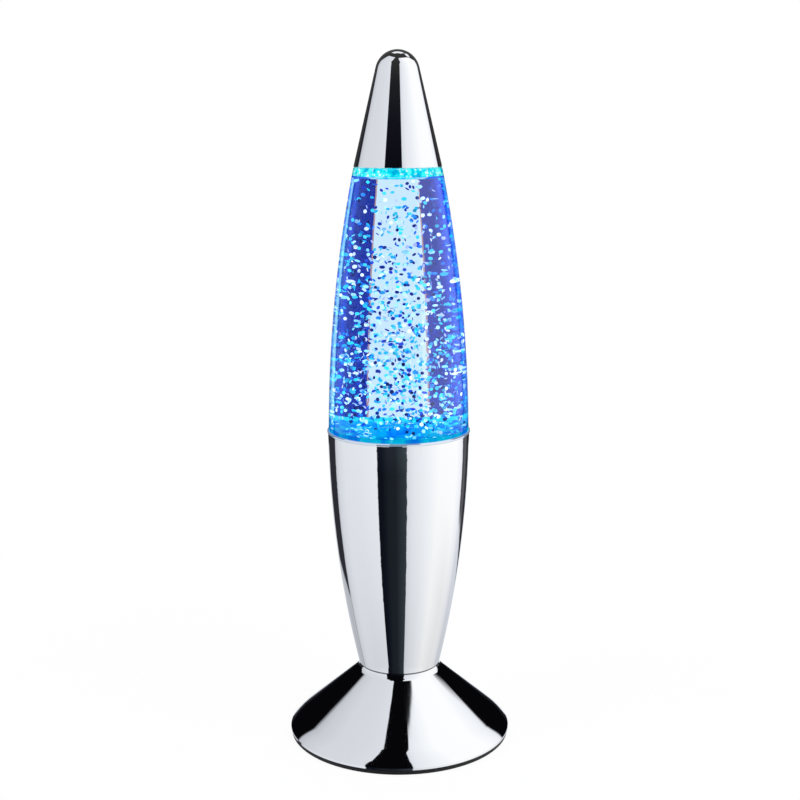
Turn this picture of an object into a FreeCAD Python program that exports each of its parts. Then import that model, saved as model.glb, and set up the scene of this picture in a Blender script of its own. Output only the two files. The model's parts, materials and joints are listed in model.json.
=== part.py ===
import FreeCAD, Part
import math
import os

from FreeCAD import Vector

# A battery glitter lamp in the shape of a small rocket: a chromed cone cap, a clear tapered
# bottle of glitter and liquid, a chromed housing with the lights and the stirrer motor, and a
# chromed foot that holds three cells. Millimetres, +Z up, the front faces -Y, and the origin is
# the middle of the lamp on the surface that it stands on.

# Heights of the visible pieces, from the table up
PLATE_BOTTOM = 0.5
FOOT_RIM = 3.0
NECK_TOP = 37.4
HOUSING_TOP = 158.0
LAMP_TOP = 340.0
CAP_HEIGHT = 54.7
BOTTLE_TOP = LAMP_TOP - CAP_HEIGHT

# Outer radii of the visible pieces
FOOT_R = 55.5
PLATE_STEP = 0.5
PLATE_R = FOOT_R - PLATE_STEP
FOOT_LIP = 1.0
SHOULDER_RISE = 7.6
SHOULDER_IN = 6.5
SHOULDER_BULGE = 0.3
NECK_R = 20.0
NECK_FILLET = 4.0
NECK_STEP = 0.3
HOUSING_LOW_R = NECK_R + NECK_STEP
HOUSING_HIGH_R = 34.8
HOUSING_BULGE = 3.4
LIP_PROUD = 0.35
LIP_R = HOUSING_HIGH_R + LIP_PROUD
LIP_HEIGHT = 1.4
BOTTLE_STEP = 0.35
BOTTLE_LOW_R = HOUSING_HIGH_R - BOTTLE_STEP
BOTTLE_HIGH_R = 21.2
BOTTLE_BULGE = 3.05
CAP_LOW_R = BOTTLE_HIGH_R
CAP_DOME_R = 10.6

# Walls
FOOT_WALL = 2.0
FLANGE_THICK = 2.4
HOUSING_WALL = 2.0
BOTTLE_WALL = 2.5
BOTTLE_CEILING = 5.0
CAP_WALL = 1.8
EDGE_BREAK = 0.4

# Clearances
LIFT_GAP = 0.1
SEAT_GAP = 0.3
RUN_GAP = 0.06
SNUG_GAP = 0.02
FILL_GAP = 0.05

# Bottle: weld ring, spigot in the housing, well for the stirrer, and the filling neck
WELD_RING_THICK = 1.6
BORE_WALL = 2.5
SPIGOT_DEPTH = 9.1
SPIGOT_WALL = 3.0
BASE_FLOOR_THICK = 3.0
WELL_R = 13.0
WELL_DEPTH = 6.6
WELL_WALL = 2.0
BORE_STEP_DEPTH = 12.0
FILLER_R = 12.0
FILLER_HEIGHT = 14.0
FILLER_BORE_R = 7.0
PLUG_DEPTH = 10.0
PLUG_FLANGE_R = 9.5
PLUG_FLANGE_THICK = 2.0
SEAL_THICK = 0.8
CAP_RIBS = 6
CAP_RIB_THICK = 1.2
CAP_RIB_HEIGHT = 13.0

# Stirrer in the well
PIN_R = 1.0
PIN_SOCKET = 1.8
PIN_BOSS_R = 2.6
PIN_BOSS_HEIGHT = 0.4
HUB_R = 8.6
HUB_HEIGHT = 4.8
BLADES = 4
BLADE_R = 11.6
BLADE_THICK = 1.2
BLADE_ROOT = 1.5
BLADE_TURN = 45.0
BLADE_HEIGHT = 4.2
STIR_MAGNET_R = 2.0
STIR_MAGNET_HEIGHT = 3.8
STIR_MAGNET_AT = 5.4
KEEPER_R = 2.2
KEEPER_THICK = 0.8

# Glitter: hexagonal flakes, spread through the liquid and thicker towards the floor
FLAKES = 120
FLAKE_CORNERS = 6
FLAKE_R = 0.9
FLAKE_THICK = 0.12
FLAKE_SETTLE = 1.3
GOLDEN_TURN = 137.50776
OUTWARD_STEP = 0.8192
TILT_STEP = 0.6710
TURN_STEP = 0.5497

# Light unit under the bottle
COVER_THICK = 1.6
COVER_RIM = 1.5
COVER_RIM_WALL = 1.9
COVER_TO_SPIGOT = 0.8
TRAY_GAP = 0.6
TRAY_WALL = 2.0
TRAY_DEPTH = 12.5
TRAY_FLOOR_THICK = 2.0
SKIRT_HEIGHT = 7.4
BOARD_GAP = 0.4
BOARD_HOLE_GAP = 1.2
BOARD_THICK = 1.6
BOARD_STANDOFF = 0.9
PEGS = 3
PEG_R = 1.2
PEG_INSET = 2.0
PEG_TURN = 60.0
STANDOFF_R = 2.4
LEDS = 4
LED_R = 2.5
LED_FLANGE_R = 2.9
LED_FLANGE_THICK = 1.0
LED_HEIGHT = 7.2
LED_INSET = 4.6
LED_TURN = 45.0
CHIP_LENGTH = 4.0
CHIP_WIDTH = 5.0
CHIP_THICK = 1.6
RESISTOR_LENGTH = 3.2
RESISTOR_WIDTH = 1.6
RESISTOR_THICK = 0.6
RESISTOR_TURNS = (105, 195, 285)
LEAD_HOLE_R = 2.2
LEAD_HOLE_INSET = 5.4

# Motor, a flat direct-current type 24.4 mm across with a 2 mm shaft
MOTOR_R = 12.2
MOTOR_LENGTH = 12.3
MOTOR_SKIN = 0.8
MOTOR_NOSE_R = 3.0
MOTOR_NOSE = 1.4
END_CAP_THICK = 1.3
END_BOSS = 1.8
FIELD_MAGNET_WALL = 1.95
CORE_R = 8.9
CORE_HEIGHT = 7.5
CORE_SLOTS = 3
CORE_SLOT_WIDTH = 1.2
CORE_YOKE_R = 4.0
COMMUTATOR_R = 2.5
COMMUTATOR_HEIGHT = 2.0
TERMINAL_WIDTH = 2.0
TERMINAL_THICK = 0.4
TERMINAL_LENGTH = 3.0
TERMINAL_BACK = 7.0
TERMINAL_SPREAD = 3.6
SHAFT_R = 1.0
CARRIER_R = 12.4
CARRIER_THICK = 5.0
DRIVE_MAGNET_R = 3.0
DRIVE_MAGNET_HEIGHT = 2.9
DRIVE_MAGNET_AT = 8.0
CARRIER_TO_BOARD = 1.7

# Screws: three join foot and housing, three hold the tray, three hold the base plate
JOINING_SCREWS = 3
JOINING_SCREW_INSET = 7.0
JOINING_SCREW_AT = NECK_R - JOINING_SCREW_INSET
JOINING_SCREW_BITE = 9.0
JOINING_TURN = 90.0
TRAY_POSTS = 3
TRAY_SCREW_INSET = 5.1
TRAY_SCREW_BITE = 8.0
PLATE_SCREWS = 3
PLATE_SCREW_INSET = 9.5
PLATE_SCREW_AT = FOOT_R - PLATE_SCREW_INSET
PLATE_SCREW_SEAT = 2.8
PLATE_SCREW_BITE = 5.4
PLATE_BOSS = 1.8
PLATE_TURN = 90.0
BOSS_R = 3.2
SCREW_R = 1.25
SCREW_HEAD_R = 2.5
SCREW_HEAD = 1.6
WIRE_WAY_R = 8.0
RECESS_WIDTH = 0.5
RECESS_SPAN = 0.6
RECESS_DEPTH = 0.5

# Small screws of the motor, the switch and the battery door
MOTOR_SCREW_R = 0.85
MOTOR_SCREW_HEAD_R = 1.9
MOTOR_SCREW_HEAD = 1.2
MOTOR_SCREW_AT = 6.0
SWITCH_SCREW_R = 0.9
SWITCH_SCREW_HEAD_R = 1.8
SWITCH_SCREW_HEAD = 1.0
SWITCH_SCREW_BITE = 1.6
SWITCH_SCREW_AT = 7.7
DOOR_SCREW_R = 1.0
DOOR_SCREW_HEAD_R = 2.3
DOOR_SCREW_HEAD = 1.1
DOOR_SCREW_SEAT = 1.9
DOOR_SCREW_TOP = 7.5
DOOR_SCREW_SWING = 0.5

# Cells: three of size AA side by side, the middle one turned the other way
CELL_R = 7.2
CELL_LENGTH = 50.5
CELL_NUB_R = 2.75
CELL_NUB = 1.3
CELL_PITCH = 15.4
CELL_AXIS = 10.2
SPRING_LENGTH = 5.0
SPRING_WIRE_R = 0.35
SPRING_TURNS = 3
SPOTS_A_STEP = 20
SPRING_WIDE_R = 4.2
SPRING_NARROW_R = 2.6
CONTACT_THICK = 0.4
CONTACT_WIDTH = 11.0
CONTACT_HEIGHT = 10.0
CONTACT_TAB = 3.0
CONTACT_TAB_RISE = 1.6
BAY_WALL = 1.6
BAY_ROOF = 1.4
BAY_HEADROOM = 0.4

# Base plate, its upstand and the raised frame round the door
UPSTAND_WALL = 1.4
UPSTAND_HEIGHT = 1.6
FRAME_THICK = 1.4
FRAME_WIDTH = 1.9
PADS = 4
PAD_R = 5.0
PAD_THICK = 1.5
PAD_INSET = 9.0
PAD_AT = PLATE_R - PAD_INSET
PAD_TURN = 45.0

# Battery door, hinged on two tabs at +X and held by one screw at -X
DOOR_THICK = 2.0
DOOR_FACE = 0.7
DOOR_SCREW_LAND = 6.8
DOOR_EDGE_LAND = 0.8
TAB_LENGTH = 3.0
TAB_WIDTH = 6.0
TAB_THICK = 0.95
TAB_AT = 12.0
TAB_GAP = 0.15
GRIPS = 5
GRIP_PITCH = 2.0
GRIP_WIDTH = 1.0
GRIP_LENGTH = 14.0
GRIP_AT = 9.0

# Slide switch under the plate, at the front
SWITCH_INSET = 17.0
SWITCH_AT = SWITCH_INSET - PLATE_R
SWITCH_LENGTH = 11.0
SWITCH_WIDTH = 6.6
SWITCH_HEIGHT = 5.5
SWITCH_FLANGE = 19.6
SWITCH_FLANGE_THICK = 0.6
SWITCH_SKIN = 0.8
SWITCH_TRAVEL = 4.0
SLIDER_HEIGHT = 2.4
SWITCH_TERMINAL_PITCH = 3.0
SWITCH_TERMINAL_WIDTH = 1.5
SWITCH_TERMINAL_THICK = 0.4
SWITCH_TERMINAL_LENGTH = 2.0
KNOB_LENGTH = 3.0
KNOB_WIDTH = 2.4
KNOB_FACE = 0.7
KNOB_GROOVES = (-0.8, 0.0, 0.8)
KNOB_GROOVE = 0.4
FINGER_LENGTH = 15.0
FINGER_WIDTH = 9.0
FINGER_DEPTH = 1.1

# Leads: insulated wire 1.4 mm thick, soldered side by side on the board
LEAD_R = 0.7
LEAD_PAIR = 1.0
SOLDER_INSET = 2.0
BEND_SHARE = 0.45

HALF_TURN = 180.0


# Shapes

def turned(*path):
    """A solid turned about Z from a closed path of (radius, height) points.
    An item ("arc", mid, end) is an arc from the last point through mid to end."""
    edges = []
    here = Vector(path[0][0], 0, path[0][1])
    first = here
    for item in path[1:]:
        if item[0] == "arc":
            mid = Vector(item[1][0], 0, item[1][1])
            end = Vector(item[2][0], 0, item[2][1])
            edges.append(Part.Arc(here, mid, end).toShape())
        else:
            end = Vector(item[0], 0, item[1])
            edges.append(Part.LineSegment(here, end).toShape())
        here = end
    edges.append(Part.LineSegment(here, first).toShape())
    face = Part.Face(Part.Wire(edges))
    return face.revolve(Vector(0, 0, 0), Vector(0, 0, 1), 360)


def cylinder(radius, low, high, x=0.0, y=0.0):
    return Part.makeCylinder(radius, high - low, Vector(x, y, low))


def ring(outer, inner, low, high):
    return cylinder(outer, low, high).cut(cylinder(inner, low, high))


def block(x0, x1, y0, y1, z0, z1):
    return Part.makeBox(x1 - x0, y1 - y0, z1 - z0, Vector(x0, y0, z0))


def bar(length, width, low, high, x=0.0, y=0.0):
    """A box centred on (x, y)."""
    return block(x - length / 2, x + length / 2, y - width / 2, y + width / 2, low, high)


def joined(first, *others):
    return first.fuse(list(others)).removeSplitter()


def around(count, radius, first_angle=0.0):
    """(x, y) of places evenly spaced on a circle about Z."""
    turns = [math.radians(first_angle + 360.0 / count * i) for i in range(count)]
    return [(radius * math.cos(a), radius * math.sin(a)) for a in turns]


def turned_to(shape, degrees):
    copy = shape.copy()
    copy.rotate(Vector(0, 0, 0), Vector(0, 0, 1), degrees)
    return copy


def group(solids):
    return Part.makeCompound(solids)


class BulgedWall:
    """The side of a tapered round shell: an arc in the (radius, height) plane that swells out
    from the straight line between its two ends."""

    def __init__(self, low, high, bulge):
        run = (high[0] - low[0], high[1] - low[1])
        chord = math.hypot(*run)
        out = (run[1] / chord, -run[0] / chord)
        sag = bulge * out[0]
        self.radius = (chord * chord / 4 + sag * sag) / (2 * sag)
        back = self.radius - sag
        self.centre = ((low[0] + high[0]) / 2 - out[0] * back, (low[1] + high[1]) / 2 - out[1] * back)

    def at(self, height, inset=0.0):
        """The (radius, height) point of the wall, inset by that much towards the inside."""
        reach = self.radius - inset
        return (self.centre[0] + math.sqrt(reach ** 2 - (height - self.centre[1]) ** 2), height)

    def arc(self, start, end, inset=0.0):
        return ("arc", self.at((start + end) / 2, inset), self.at(end, inset))

    def height_of(self, radius, inset=0.0):
        """Where a wall that swells upwards has that radius."""
        reach = self.radius - inset
        return self.centre[1] + math.sqrt(reach ** 2 - (radius - self.centre[0]) ** 2)


HOUSING_SIDE = BulgedWall((HOUSING_LOW_R, NECK_TOP), (HOUSING_HIGH_R, HOUSING_TOP), HOUSING_BULGE)
BOTTLE_SIDE = BulgedWall((BOTTLE_LOW_R, HOUSING_TOP), (BOTTLE_HIGH_R, BOTTLE_TOP), BOTTLE_BULGE)
SHOULDER = BulgedWall((FOOT_R, FOOT_RIM + FOOT_LIP), (FOOT_R - SHOULDER_IN, FOOT_RIM + SHOULDER_RISE),
                      SHOULDER_BULGE)


def screw(x, y, head_low, length, radius=SCREW_R, head_r=SCREW_HEAD_R, head=SCREW_HEAD, up=True):
    """A pan-head screw with a cross recess. Up means that its shank points up from the head."""
    shank = cylinder(radius, head, head + length)
    span = head_r * RECESS_SPAN
    slot = bar(2 * span, RECESS_WIDTH, 0, head * RECESS_DEPTH)
    whole = joined(cylinder(head_r, 0, head), shank).cut([slot, turned_to(slot, 90)])
    if not up:
        whole.rotate(Vector(0, 0, head / 2), Vector(1, 0, 0), HALF_TURN)
    whole.translate(Vector(x, y, head_low))
    return whole


def lead(points, radius=LEAD_R):
    """An insulated wire along straight runs joined by tangent arcs."""
    ends = [Vector(*p) for p in points]
    edges = []
    bends = []
    here = ends[0]
    for before, corner, after in zip(ends, ends[1:], ends[2:]):
        back = before - corner
        on = after - corner
        reach = BEND_SHARE * min(back.Length, on.Length)
        back.normalize()
        on.normalize()
        half_turn = (math.pi - back.getAngle(on)) / 2
        bend = reach / math.tan(half_turn)
        bends.append(round(bend, 1))
        middle = back + on
        middle.normalize()
        start = corner + back * reach
        end = corner + on * reach
        top = corner + middle * (math.hypot(bend, reach) - bend)
        edges.append(Part.LineSegment(here, start).toShape())
        edges.append(Part.Arc(start, top, end).toShape())
        here = end
    edges.append(Part.LineSegment(here, ends[-1]).toShape())
    path = Part.Wire(edges)
    section = Part.Wire(Part.Circle(ends[0], ends[1] - ends[0], radius).toShape())
    tube = path.makePipeShell([section], True, False)
    print("lead", round(path.Length, 1), "mm, volume error",
          round(abs(tube.Volume / (math.pi * radius ** 2 * path.Length) - 1), 5), "radii", bends)
    return tube


def arc_from(start, heading, end):
    """The arc that leaves start along heading and ends at end."""
    chord = end - start
    along = chord / chord.Length
    side = heading - along * heading.dot(along)
    side.normalize()
    sag = chord.Length / 2 * math.tan(heading.getAngle(along) / 2)
    return Part.Arc(start, start + chord / 2 + side * sag, end).toShape()


def coil(length, turns, wide_r, narrow_r, wire_r):
    """A conical spring along +Z from z = 0: one wire on biarcs of a quarter turn."""
    steps = 4 * turns
    rise = length - 2 * wire_r

    def place(step):
        share = step / steps
        r = wide_r + (narrow_r - wide_r) * share
        angle = math.pi / 2 * step
        return Vector(r * math.cos(angle), r * math.sin(angle), wire_r + rise * share)

    def heading(step):
        share = step / steps
        r = wide_r + (narrow_r - wide_r) * share
        shrink = (narrow_r - wide_r) / steps / (math.pi / 2)
        angle = math.pi / 2 * step
        way = Vector(shrink * math.cos(angle) - r * math.sin(angle),
                     shrink * math.sin(angle) + r * math.cos(angle),
                     rise / steps / (math.pi / 2))
        way.normalize()
        return way

    edges = []
    for step in range(steps):
        a, b = place(step), place(step + 1)
        u, v = heading(step), heading(step + 1)
        chord = b - a
        both = u + v
        spread = 2 * (1 - u.dot(v))
        reach = (math.sqrt(chord.dot(both) ** 2 + spread * chord.dot(chord)) - chord.dot(both)) / spread
        knee = (a + u * reach + b - v * reach) * 0.5
        edges.append(arc_from(a, u, knee))
        into_knee = (b - v * reach) - (a + u * reach)
        into_knee.normalize()
        edges.append(arc_from(knee, into_knee, b))
    path = Part.Wire(edges)
    spots = path.discretize(Number=SPOTS_A_STEP * steps)
    turn_on = 2 * SPOTS_A_STEP
    near = min(a.distanceToPoint(b) for i, a in enumerate(spots) for b in spots[i + turn_on:])
    print("spring", turns, "turns, least gap", round(near - 2 * wire_r, 2), "mm")
    section = Part.Wire(Part.Circle(place(0), heading(0), wire_r).toShape())
    return path.makePipeShell([section], True, False)


# Cap

CAP_LOW = BOTTLE_TOP + LIFT_GAP


def cap_outline(inset, edge):
    """The cap's outside, or with an inset its inside: a cone that is tangent to its dome.
    The edge is how much of the lower corner is taken off."""
    centre = LAMP_TOP - CAP_DOME_R
    up = centre - CAP_LOW
    lean = math.acos(CAP_DOME_R / math.hypot(CAP_LOW_R, up)) - math.atan2(up, CAP_LOW_R)
    dome = CAP_DOME_R - inset
    low_r = CAP_LOW_R - inset / math.cos(lean)
    touch = (dome * math.cos(lean), centre + dome * math.sin(lean))
    half = (math.pi / 2 + lean) / 2
    return turned((0, CAP_LOW), (low_r - edge, CAP_LOW), (low_r - edge * math.tan(lean), CAP_LOW + edge),
                  touch, ("arc", (dome * math.cos(half), centre + dome * math.sin(half)), (0, centre + dome)))


def top_cap():
    hollow = cap_outline(CAP_WALL, EDGE_BREAK)
    grip = FILLER_R + SEAT_GAP
    rib = block(grip, CAP_LOW_R, -CAP_RIB_THICK / 2, CAP_RIB_THICK / 2,
                CAP_LOW + SEAT_GAP, CAP_LOW + CAP_RIB_HEIGHT)
    ribs = [turned_to(rib, 360.0 / CAP_RIBS * i) for i in range(CAP_RIBS)]
    return cap_outline(0, EDGE_BREAK).cut(hollow.cut(ribs))


# Bottle

BORE_R = HOUSING_HIGH_R - BORE_WALL
SPIGOT_R = BORE_R - SEAT_GAP
BASE_LOW = HOUSING_TOP + LIFT_GAP
WELD = BASE_LOW + WELD_RING_THICK
CEILING = BOTTLE_TOP - BOTTLE_CEILING
FILLER_TOP = BOTTLE_TOP + FILLER_HEIGHT
PLUG_LOW = FILLER_TOP - PLUG_DEPTH
WELL_FLOOR = BASE_LOW - WELL_DEPTH


def bottle_shell():
    crown = BOTTLE_TOP - EDGE_BREAK
    return turned(BOTTLE_SIDE.at(WELD), BOTTLE_SIDE.arc(WELD, crown),
                  (BOTTLE_SIDE.at(crown)[0] - EDGE_BREAK, BOTTLE_TOP),
                  (FILLER_R, BOTTLE_TOP), (FILLER_R, FILLER_TOP), (FILLER_BORE_R, FILLER_TOP),
                  (FILLER_BORE_R, CEILING), BOTTLE_SIDE.at(CEILING, BOTTLE_WALL),
                  BOTTLE_SIDE.arc(CEILING, WELD, BOTTLE_WALL))


def bottle_base():
    ring_r = BOTTLE_SIDE.at(WELD)[0]
    inner = BOTTLE_SIDE.at(WELD, BOTTLE_WALL)[0]
    under = BASE_LOW - BASE_FLOOR_THICK
    foot = BASE_LOW - SPIGOT_DEPTH
    well_under = WELL_FLOOR - WELL_WALL
    boss = WELL_FLOOR + PIN_BOSS_HEIGHT
    socket_r = PIN_R + SNUG_GAP
    return turned((ring_r, BASE_LOW), (ring_r, WELD), (inner, WELD), (inner, BASE_LOW),
                  (WELL_R, BASE_LOW), (WELL_R, WELL_FLOOR), (PIN_BOSS_R, WELL_FLOOR), (PIN_BOSS_R, boss),
                  (socket_r, boss), (socket_r, boss - PIN_SOCKET), (0, boss - PIN_SOCKET), (0, well_under),
                  (WELL_R + WELL_WALL, well_under), (WELL_R + WELL_WALL, under),
                  (SPIGOT_R - SPIGOT_WALL, under), (SPIGOT_R - SPIGOT_WALL, foot),
                  (SPIGOT_R - EDGE_BREAK, foot), (SPIGOT_R, foot + EDGE_BREAK), (SPIGOT_R, BASE_LOW))


def filler_plug():
    shank_r = FILLER_BORE_R - SNUG_GAP
    flange = FILLER_TOP + SEAL_THICK
    return turned((0, PLUG_LOW), (shank_r - EDGE_BREAK, PLUG_LOW), (shank_r, PLUG_LOW + EDGE_BREAK),
                  (shank_r, flange), (PLUG_FLANGE_R, flange),
                  (PLUG_FLANGE_R, flange + PLUG_FLANGE_THICK - EDGE_BREAK),
                  (PLUG_FLANGE_R - EDGE_BREAK, flange + PLUG_FLANGE_THICK), (0, flange + PLUG_FLANGE_THICK))


def plug_seal():
    return ring(PLUG_FLANGE_R - EDGE_BREAK, FILLER_BORE_R + SNUG_GAP, FILLER_TOP, FILLER_TOP + SEAL_THICK)


HUB_LOW = WELL_FLOOR + PIN_BOSS_HEIGHT + SEAT_GAP
HUB_HIGH = HUB_LOW + HUB_HEIGHT
BLADE_HIGH = HUB_HIGH + BLADE_HEIGHT
KEEPER_LOW = BLADE_HIGH + SEAT_GAP
PIN_HIGH = KEEPER_LOW + KEEPER_THICK


def glitter_fluid():
    """The liquid, with room left round the stirrer and up to the plug in the filling neck."""
    floor = BASE_LOW + FILL_GAP
    inset = BOTTLE_WALL + FILL_GAP
    room_r = WELL_R - SEAT_GAP
    room_top = PIN_HIGH + SEAT_GAP
    neck_r = FILLER_BORE_R - FILL_GAP
    side = BOTTLE_SIDE.at(WELD, inset)
    return turned((room_r, floor), (side[0], floor), side, BOTTLE_SIDE.arc(WELD, CEILING - FILL_GAP, inset),
                  (neck_r, CEILING - FILL_GAP), (neck_r, PLUG_LOW - FILL_GAP), (0, PLUG_LOW - FILL_GAP),
                  (0, room_top), (room_r, room_top))


def glitter_flakes():
    """Hexagonal flakes on a golden-angle spread, each turned and tilted its own way."""
    corners = [Vector(x, y, 0) for x, y in around(FLAKE_CORNERS, FLAKE_R)]
    flat = Part.Face(Part.makePolygon(corners + corners[:1])).extrude(Vector(0, 0, FLAKE_THICK))
    low = PIN_HIGH + 3 * FLAKE_R
    high = CEILING - 2 * FLAKE_R
    flakes = []
    for i in range(FLAKES):
        share = (i + 0.5) / FLAKES
        height = low + (high - low) * share ** FLAKE_SETTLE
        reach = BOTTLE_SIDE.at(height, BOTTLE_WALL + 2 * FLAKE_R)[0]
        angle = math.radians(GOLDEN_TURN * i)
        out = reach * math.sqrt((i * OUTWARD_STEP) % 1)
        flake = flat.copy()
        flake.rotate(Vector(0, 0, 0), Vector(1, 0, 0), HALF_TURN * ((i * TILT_STEP) % 1))
        flake.rotate(Vector(0, 0, 0), Vector(0, 0, 1), 2 * HALF_TURN * ((i * TURN_STEP) % 1))
        flake.translate(Vector(out * math.cos(angle), out * math.sin(angle), height))
        flakes.append(flake)
    return group(flakes)


# Stirrer

def stirrer_pin():
    return cylinder(PIN_R, WELL_FLOOR + PIN_BOSS_HEIGHT - PIN_SOCKET + SNUG_GAP, PIN_HIGH)


def stirrer_keeper():
    return ring(KEEPER_R, PIN_R + SNUG_GAP, KEEPER_LOW, PIN_HIGH)


def stirrer():
    blade = block(PIN_R, BLADE_R, -BLADE_THICK / 2, BLADE_THICK / 2, HUB_HIGH - BLADE_ROOT, BLADE_HIGH)
    blades = [turned_to(blade, BLADE_TURN + 360.0 / BLADES * i) for i in range(BLADES)]
    boss = cylinder(KEEPER_R, HUB_HIGH, BLADE_HIGH)
    pockets = [cylinder(STIR_MAGNET_R + SNUG_GAP, HUB_LOW, HUB_LOW + STIR_MAGNET_HEIGHT + FILL_GAP, x)
               for x in (-STIR_MAGNET_AT, STIR_MAGNET_AT)]
    bore = cylinder(PIN_R + RUN_GAP, HUB_LOW, BLADE_HIGH)
    return joined(cylinder(HUB_R, HUB_LOW, HUB_HIGH), boss, *blades).cut(pockets + [bore])


def stirrer_magnets():
    return group([cylinder(STIR_MAGNET_R, HUB_LOW, HUB_LOW + STIR_MAGNET_HEIGHT, x)
                  for x in (-STIR_MAGNET_AT, STIR_MAGNET_AT)])


# Housing

FLOOR_TOP = NECK_TOP + FLANGE_THICK
JOINING_BOSS_TOP = NECK_TOP + JOINING_SCREW_BITE
JOINING_PLACES = around(JOINING_SCREWS, JOINING_SCREW_AT, JOINING_TURN)
TRAY_TOP = BASE_LOW - SPIGOT_DEPTH - COVER_TO_SPIGOT - COVER_THICK - LIFT_GAP
TRAY_FLOOR = TRAY_TOP - TRAY_DEPTH
TRAY_R = min(BORE_R, HOUSING_SIDE.at(TRAY_FLOOR, HOUSING_WALL)[0]) - TRAY_GAP
TRAY_SCREW_AT = TRAY_R - TRAY_SCREW_INSET
TRAY_PLACES = around(TRAY_POSTS, TRAY_SCREW_AT)


def lower_housing():
    lip_low = HOUSING_TOP - LIP_HEIGHT
    step = HOUSING_TOP - BORE_STEP_DEPTH
    foot_edge = NECK_TOP + EDGE_BREAK
    outside = turned((0, NECK_TOP), (HOUSING_SIDE.at(foot_edge)[0] - EDGE_BREAK, NECK_TOP),
                     HOUSING_SIDE.at(foot_edge), HOUSING_SIDE.arc(foot_edge, lip_low),
                     (LIP_R, lip_low + EDGE_BREAK), (LIP_R, HOUSING_TOP - EDGE_BREAK),
                     (LIP_R - EDGE_BREAK, HOUSING_TOP), (0, HOUSING_TOP))
    hollow = turned((0, FLOOR_TOP), HOUSING_SIDE.at(FLOOR_TOP, HOUSING_WALL),
                    HOUSING_SIDE.arc(FLOOR_TOP, step, HOUSING_WALL), (BORE_R, step),
                    (BORE_R, HOUSING_TOP), (0, HOUSING_TOP))
    floor_bosses = [cylinder(BOSS_R, NECK_TOP, JOINING_BOSS_TOP, x, y) for x, y in JOINING_PLACES]
    posts = [cylinder(BOSS_R, NECK_TOP, TRAY_FLOOR, x, y) for x, y in TRAY_PLACES]
    web = block(TRAY_SCREW_AT, HOUSING_HIGH_R, -HOUSING_WALL / 2, HOUSING_WALL / 2, NECK_TOP, TRAY_FLOOR)
    webs = [turned_to(web, 360.0 / TRAY_POSTS * i) for i in range(TRAY_POSTS)]
    hollow = hollow.cut(floor_bosses + posts + webs)
    drills = [cylinder(SCREW_R + SNUG_GAP, NECK_TOP, JOINING_BOSS_TOP, x, y) for x, y in JOINING_PLACES]
    drills += [cylinder(SCREW_R + SNUG_GAP, TRAY_FLOOR - TRAY_SCREW_BITE, TRAY_FLOOR, x, y)
               for x, y in TRAY_PLACES]
    way = cylinder(WIRE_WAY_R, NECK_TOP, FLOOR_TOP)
    return outside.cut([hollow, way] + drills)


def joining_screws():
    low = NECK_TOP - FLANGE_THICK - SCREW_HEAD
    length = FLANGE_THICK + JOINING_SCREW_BITE - EDGE_BREAK
    return group([screw(x, y, low, length) for x, y in JOINING_PLACES])


# Light unit

TRAY_DECK = TRAY_FLOOR + TRAY_FLOOR_THICK
BOARD_LOW = TRAY_DECK + BOARD_STANDOFF
BOARD_TOP = BOARD_LOW + BOARD_THICK
BOARD_R = TRAY_SCREW_AT - SCREW_HEAD_R - BOARD_GAP
BOARD_HOLE_R = CARRIER_R + BOARD_HOLE_GAP
PEG_AT = BOARD_R - PEG_INSET
LED_AT = BOARD_R - LED_INSET
SOLDER_AT = BOARD_R - SOLDER_INSET
LEAD_HOLE_AT = TRAY_R - LEAD_HOLE_INSET
MOTOR_SCREW_PLACES = (-MOTOR_SCREW_AT, MOTOR_SCREW_AT)
PEG_PLACES = around(PEGS, PEG_AT, PEG_TURN)


def light_tray():
    floor = ring(TRAY_R, MOTOR_NOSE_R + SEAT_GAP, TRAY_FLOOR, TRAY_DECK)
    wall = ring(TRAY_R, TRAY_R - TRAY_WALL, TRAY_FLOOR, TRAY_TOP)
    skirt = ring(MOTOR_R + SEAT_GAP + TRAY_WALL, MOTOR_R + SEAT_GAP, TRAY_FLOOR - SKIRT_HEIGHT, TRAY_DECK)
    standoffs = [cylinder(STANDOFF_R, TRAY_FLOOR, BOARD_LOW, x, y) for x, y in PEG_PLACES]
    pegs = [cylinder(PEG_R, TRAY_FLOOR, BOARD_TOP + BOARD_STANDOFF, x, y) for x, y in PEG_PLACES]
    holes = [cylinder(SCREW_R + SEAT_GAP, TRAY_FLOOR, TRAY_DECK, x, y) for x, y in TRAY_PLACES]
    holes += [cylinder(MOTOR_SCREW_R + SEAT_GAP, TRAY_FLOOR, TRAY_DECK, x) for x in MOTOR_SCREW_PLACES]
    holes += [cylinder(LEAD_HOLE_R, TRAY_FLOOR, TRAY_DECK, 0, y) for y in (-LEAD_HOLE_AT, LEAD_HOLE_AT)]
    return joined(floor, wall, skirt, *standoffs, *pegs).cut(holes)


def tray_screws():
    return group([screw(x, y, TRAY_DECK, TRAY_FLOOR_THICK + TRAY_SCREW_BITE - EDGE_BREAK, up=False)
                  for x, y in TRAY_PLACES])


def light_board():
    holes = [cylinder(PEG_R + FILL_GAP, BOARD_LOW, BOARD_TOP, x, y) for x, y in PEG_PLACES]
    return ring(BOARD_R, BOARD_HOLE_R, BOARD_LOW, BOARD_TOP).cut(holes)


def leds():
    """Four domed lamps standing on the board."""
    rim = BOARD_TOP + LED_FLANGE_THICK
    dome = BOARD_TOP + LED_HEIGHT - LED_R
    slant = LED_R * math.sqrt(0.5)
    lamp = turned((0, BOARD_TOP), (LED_FLANGE_R, BOARD_TOP), (LED_FLANGE_R, rim), (LED_R, rim),
                  (LED_R, dome), ("arc", (slant, dome + slant), (0, dome + LED_R)))
    lamps = []
    for x, y in around(LEDS, LED_AT, LED_TURN):
        copy = lamp.copy()
        copy.translate(Vector(x, y, 0))
        lamps.append(copy)
    return group(lamps)


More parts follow.
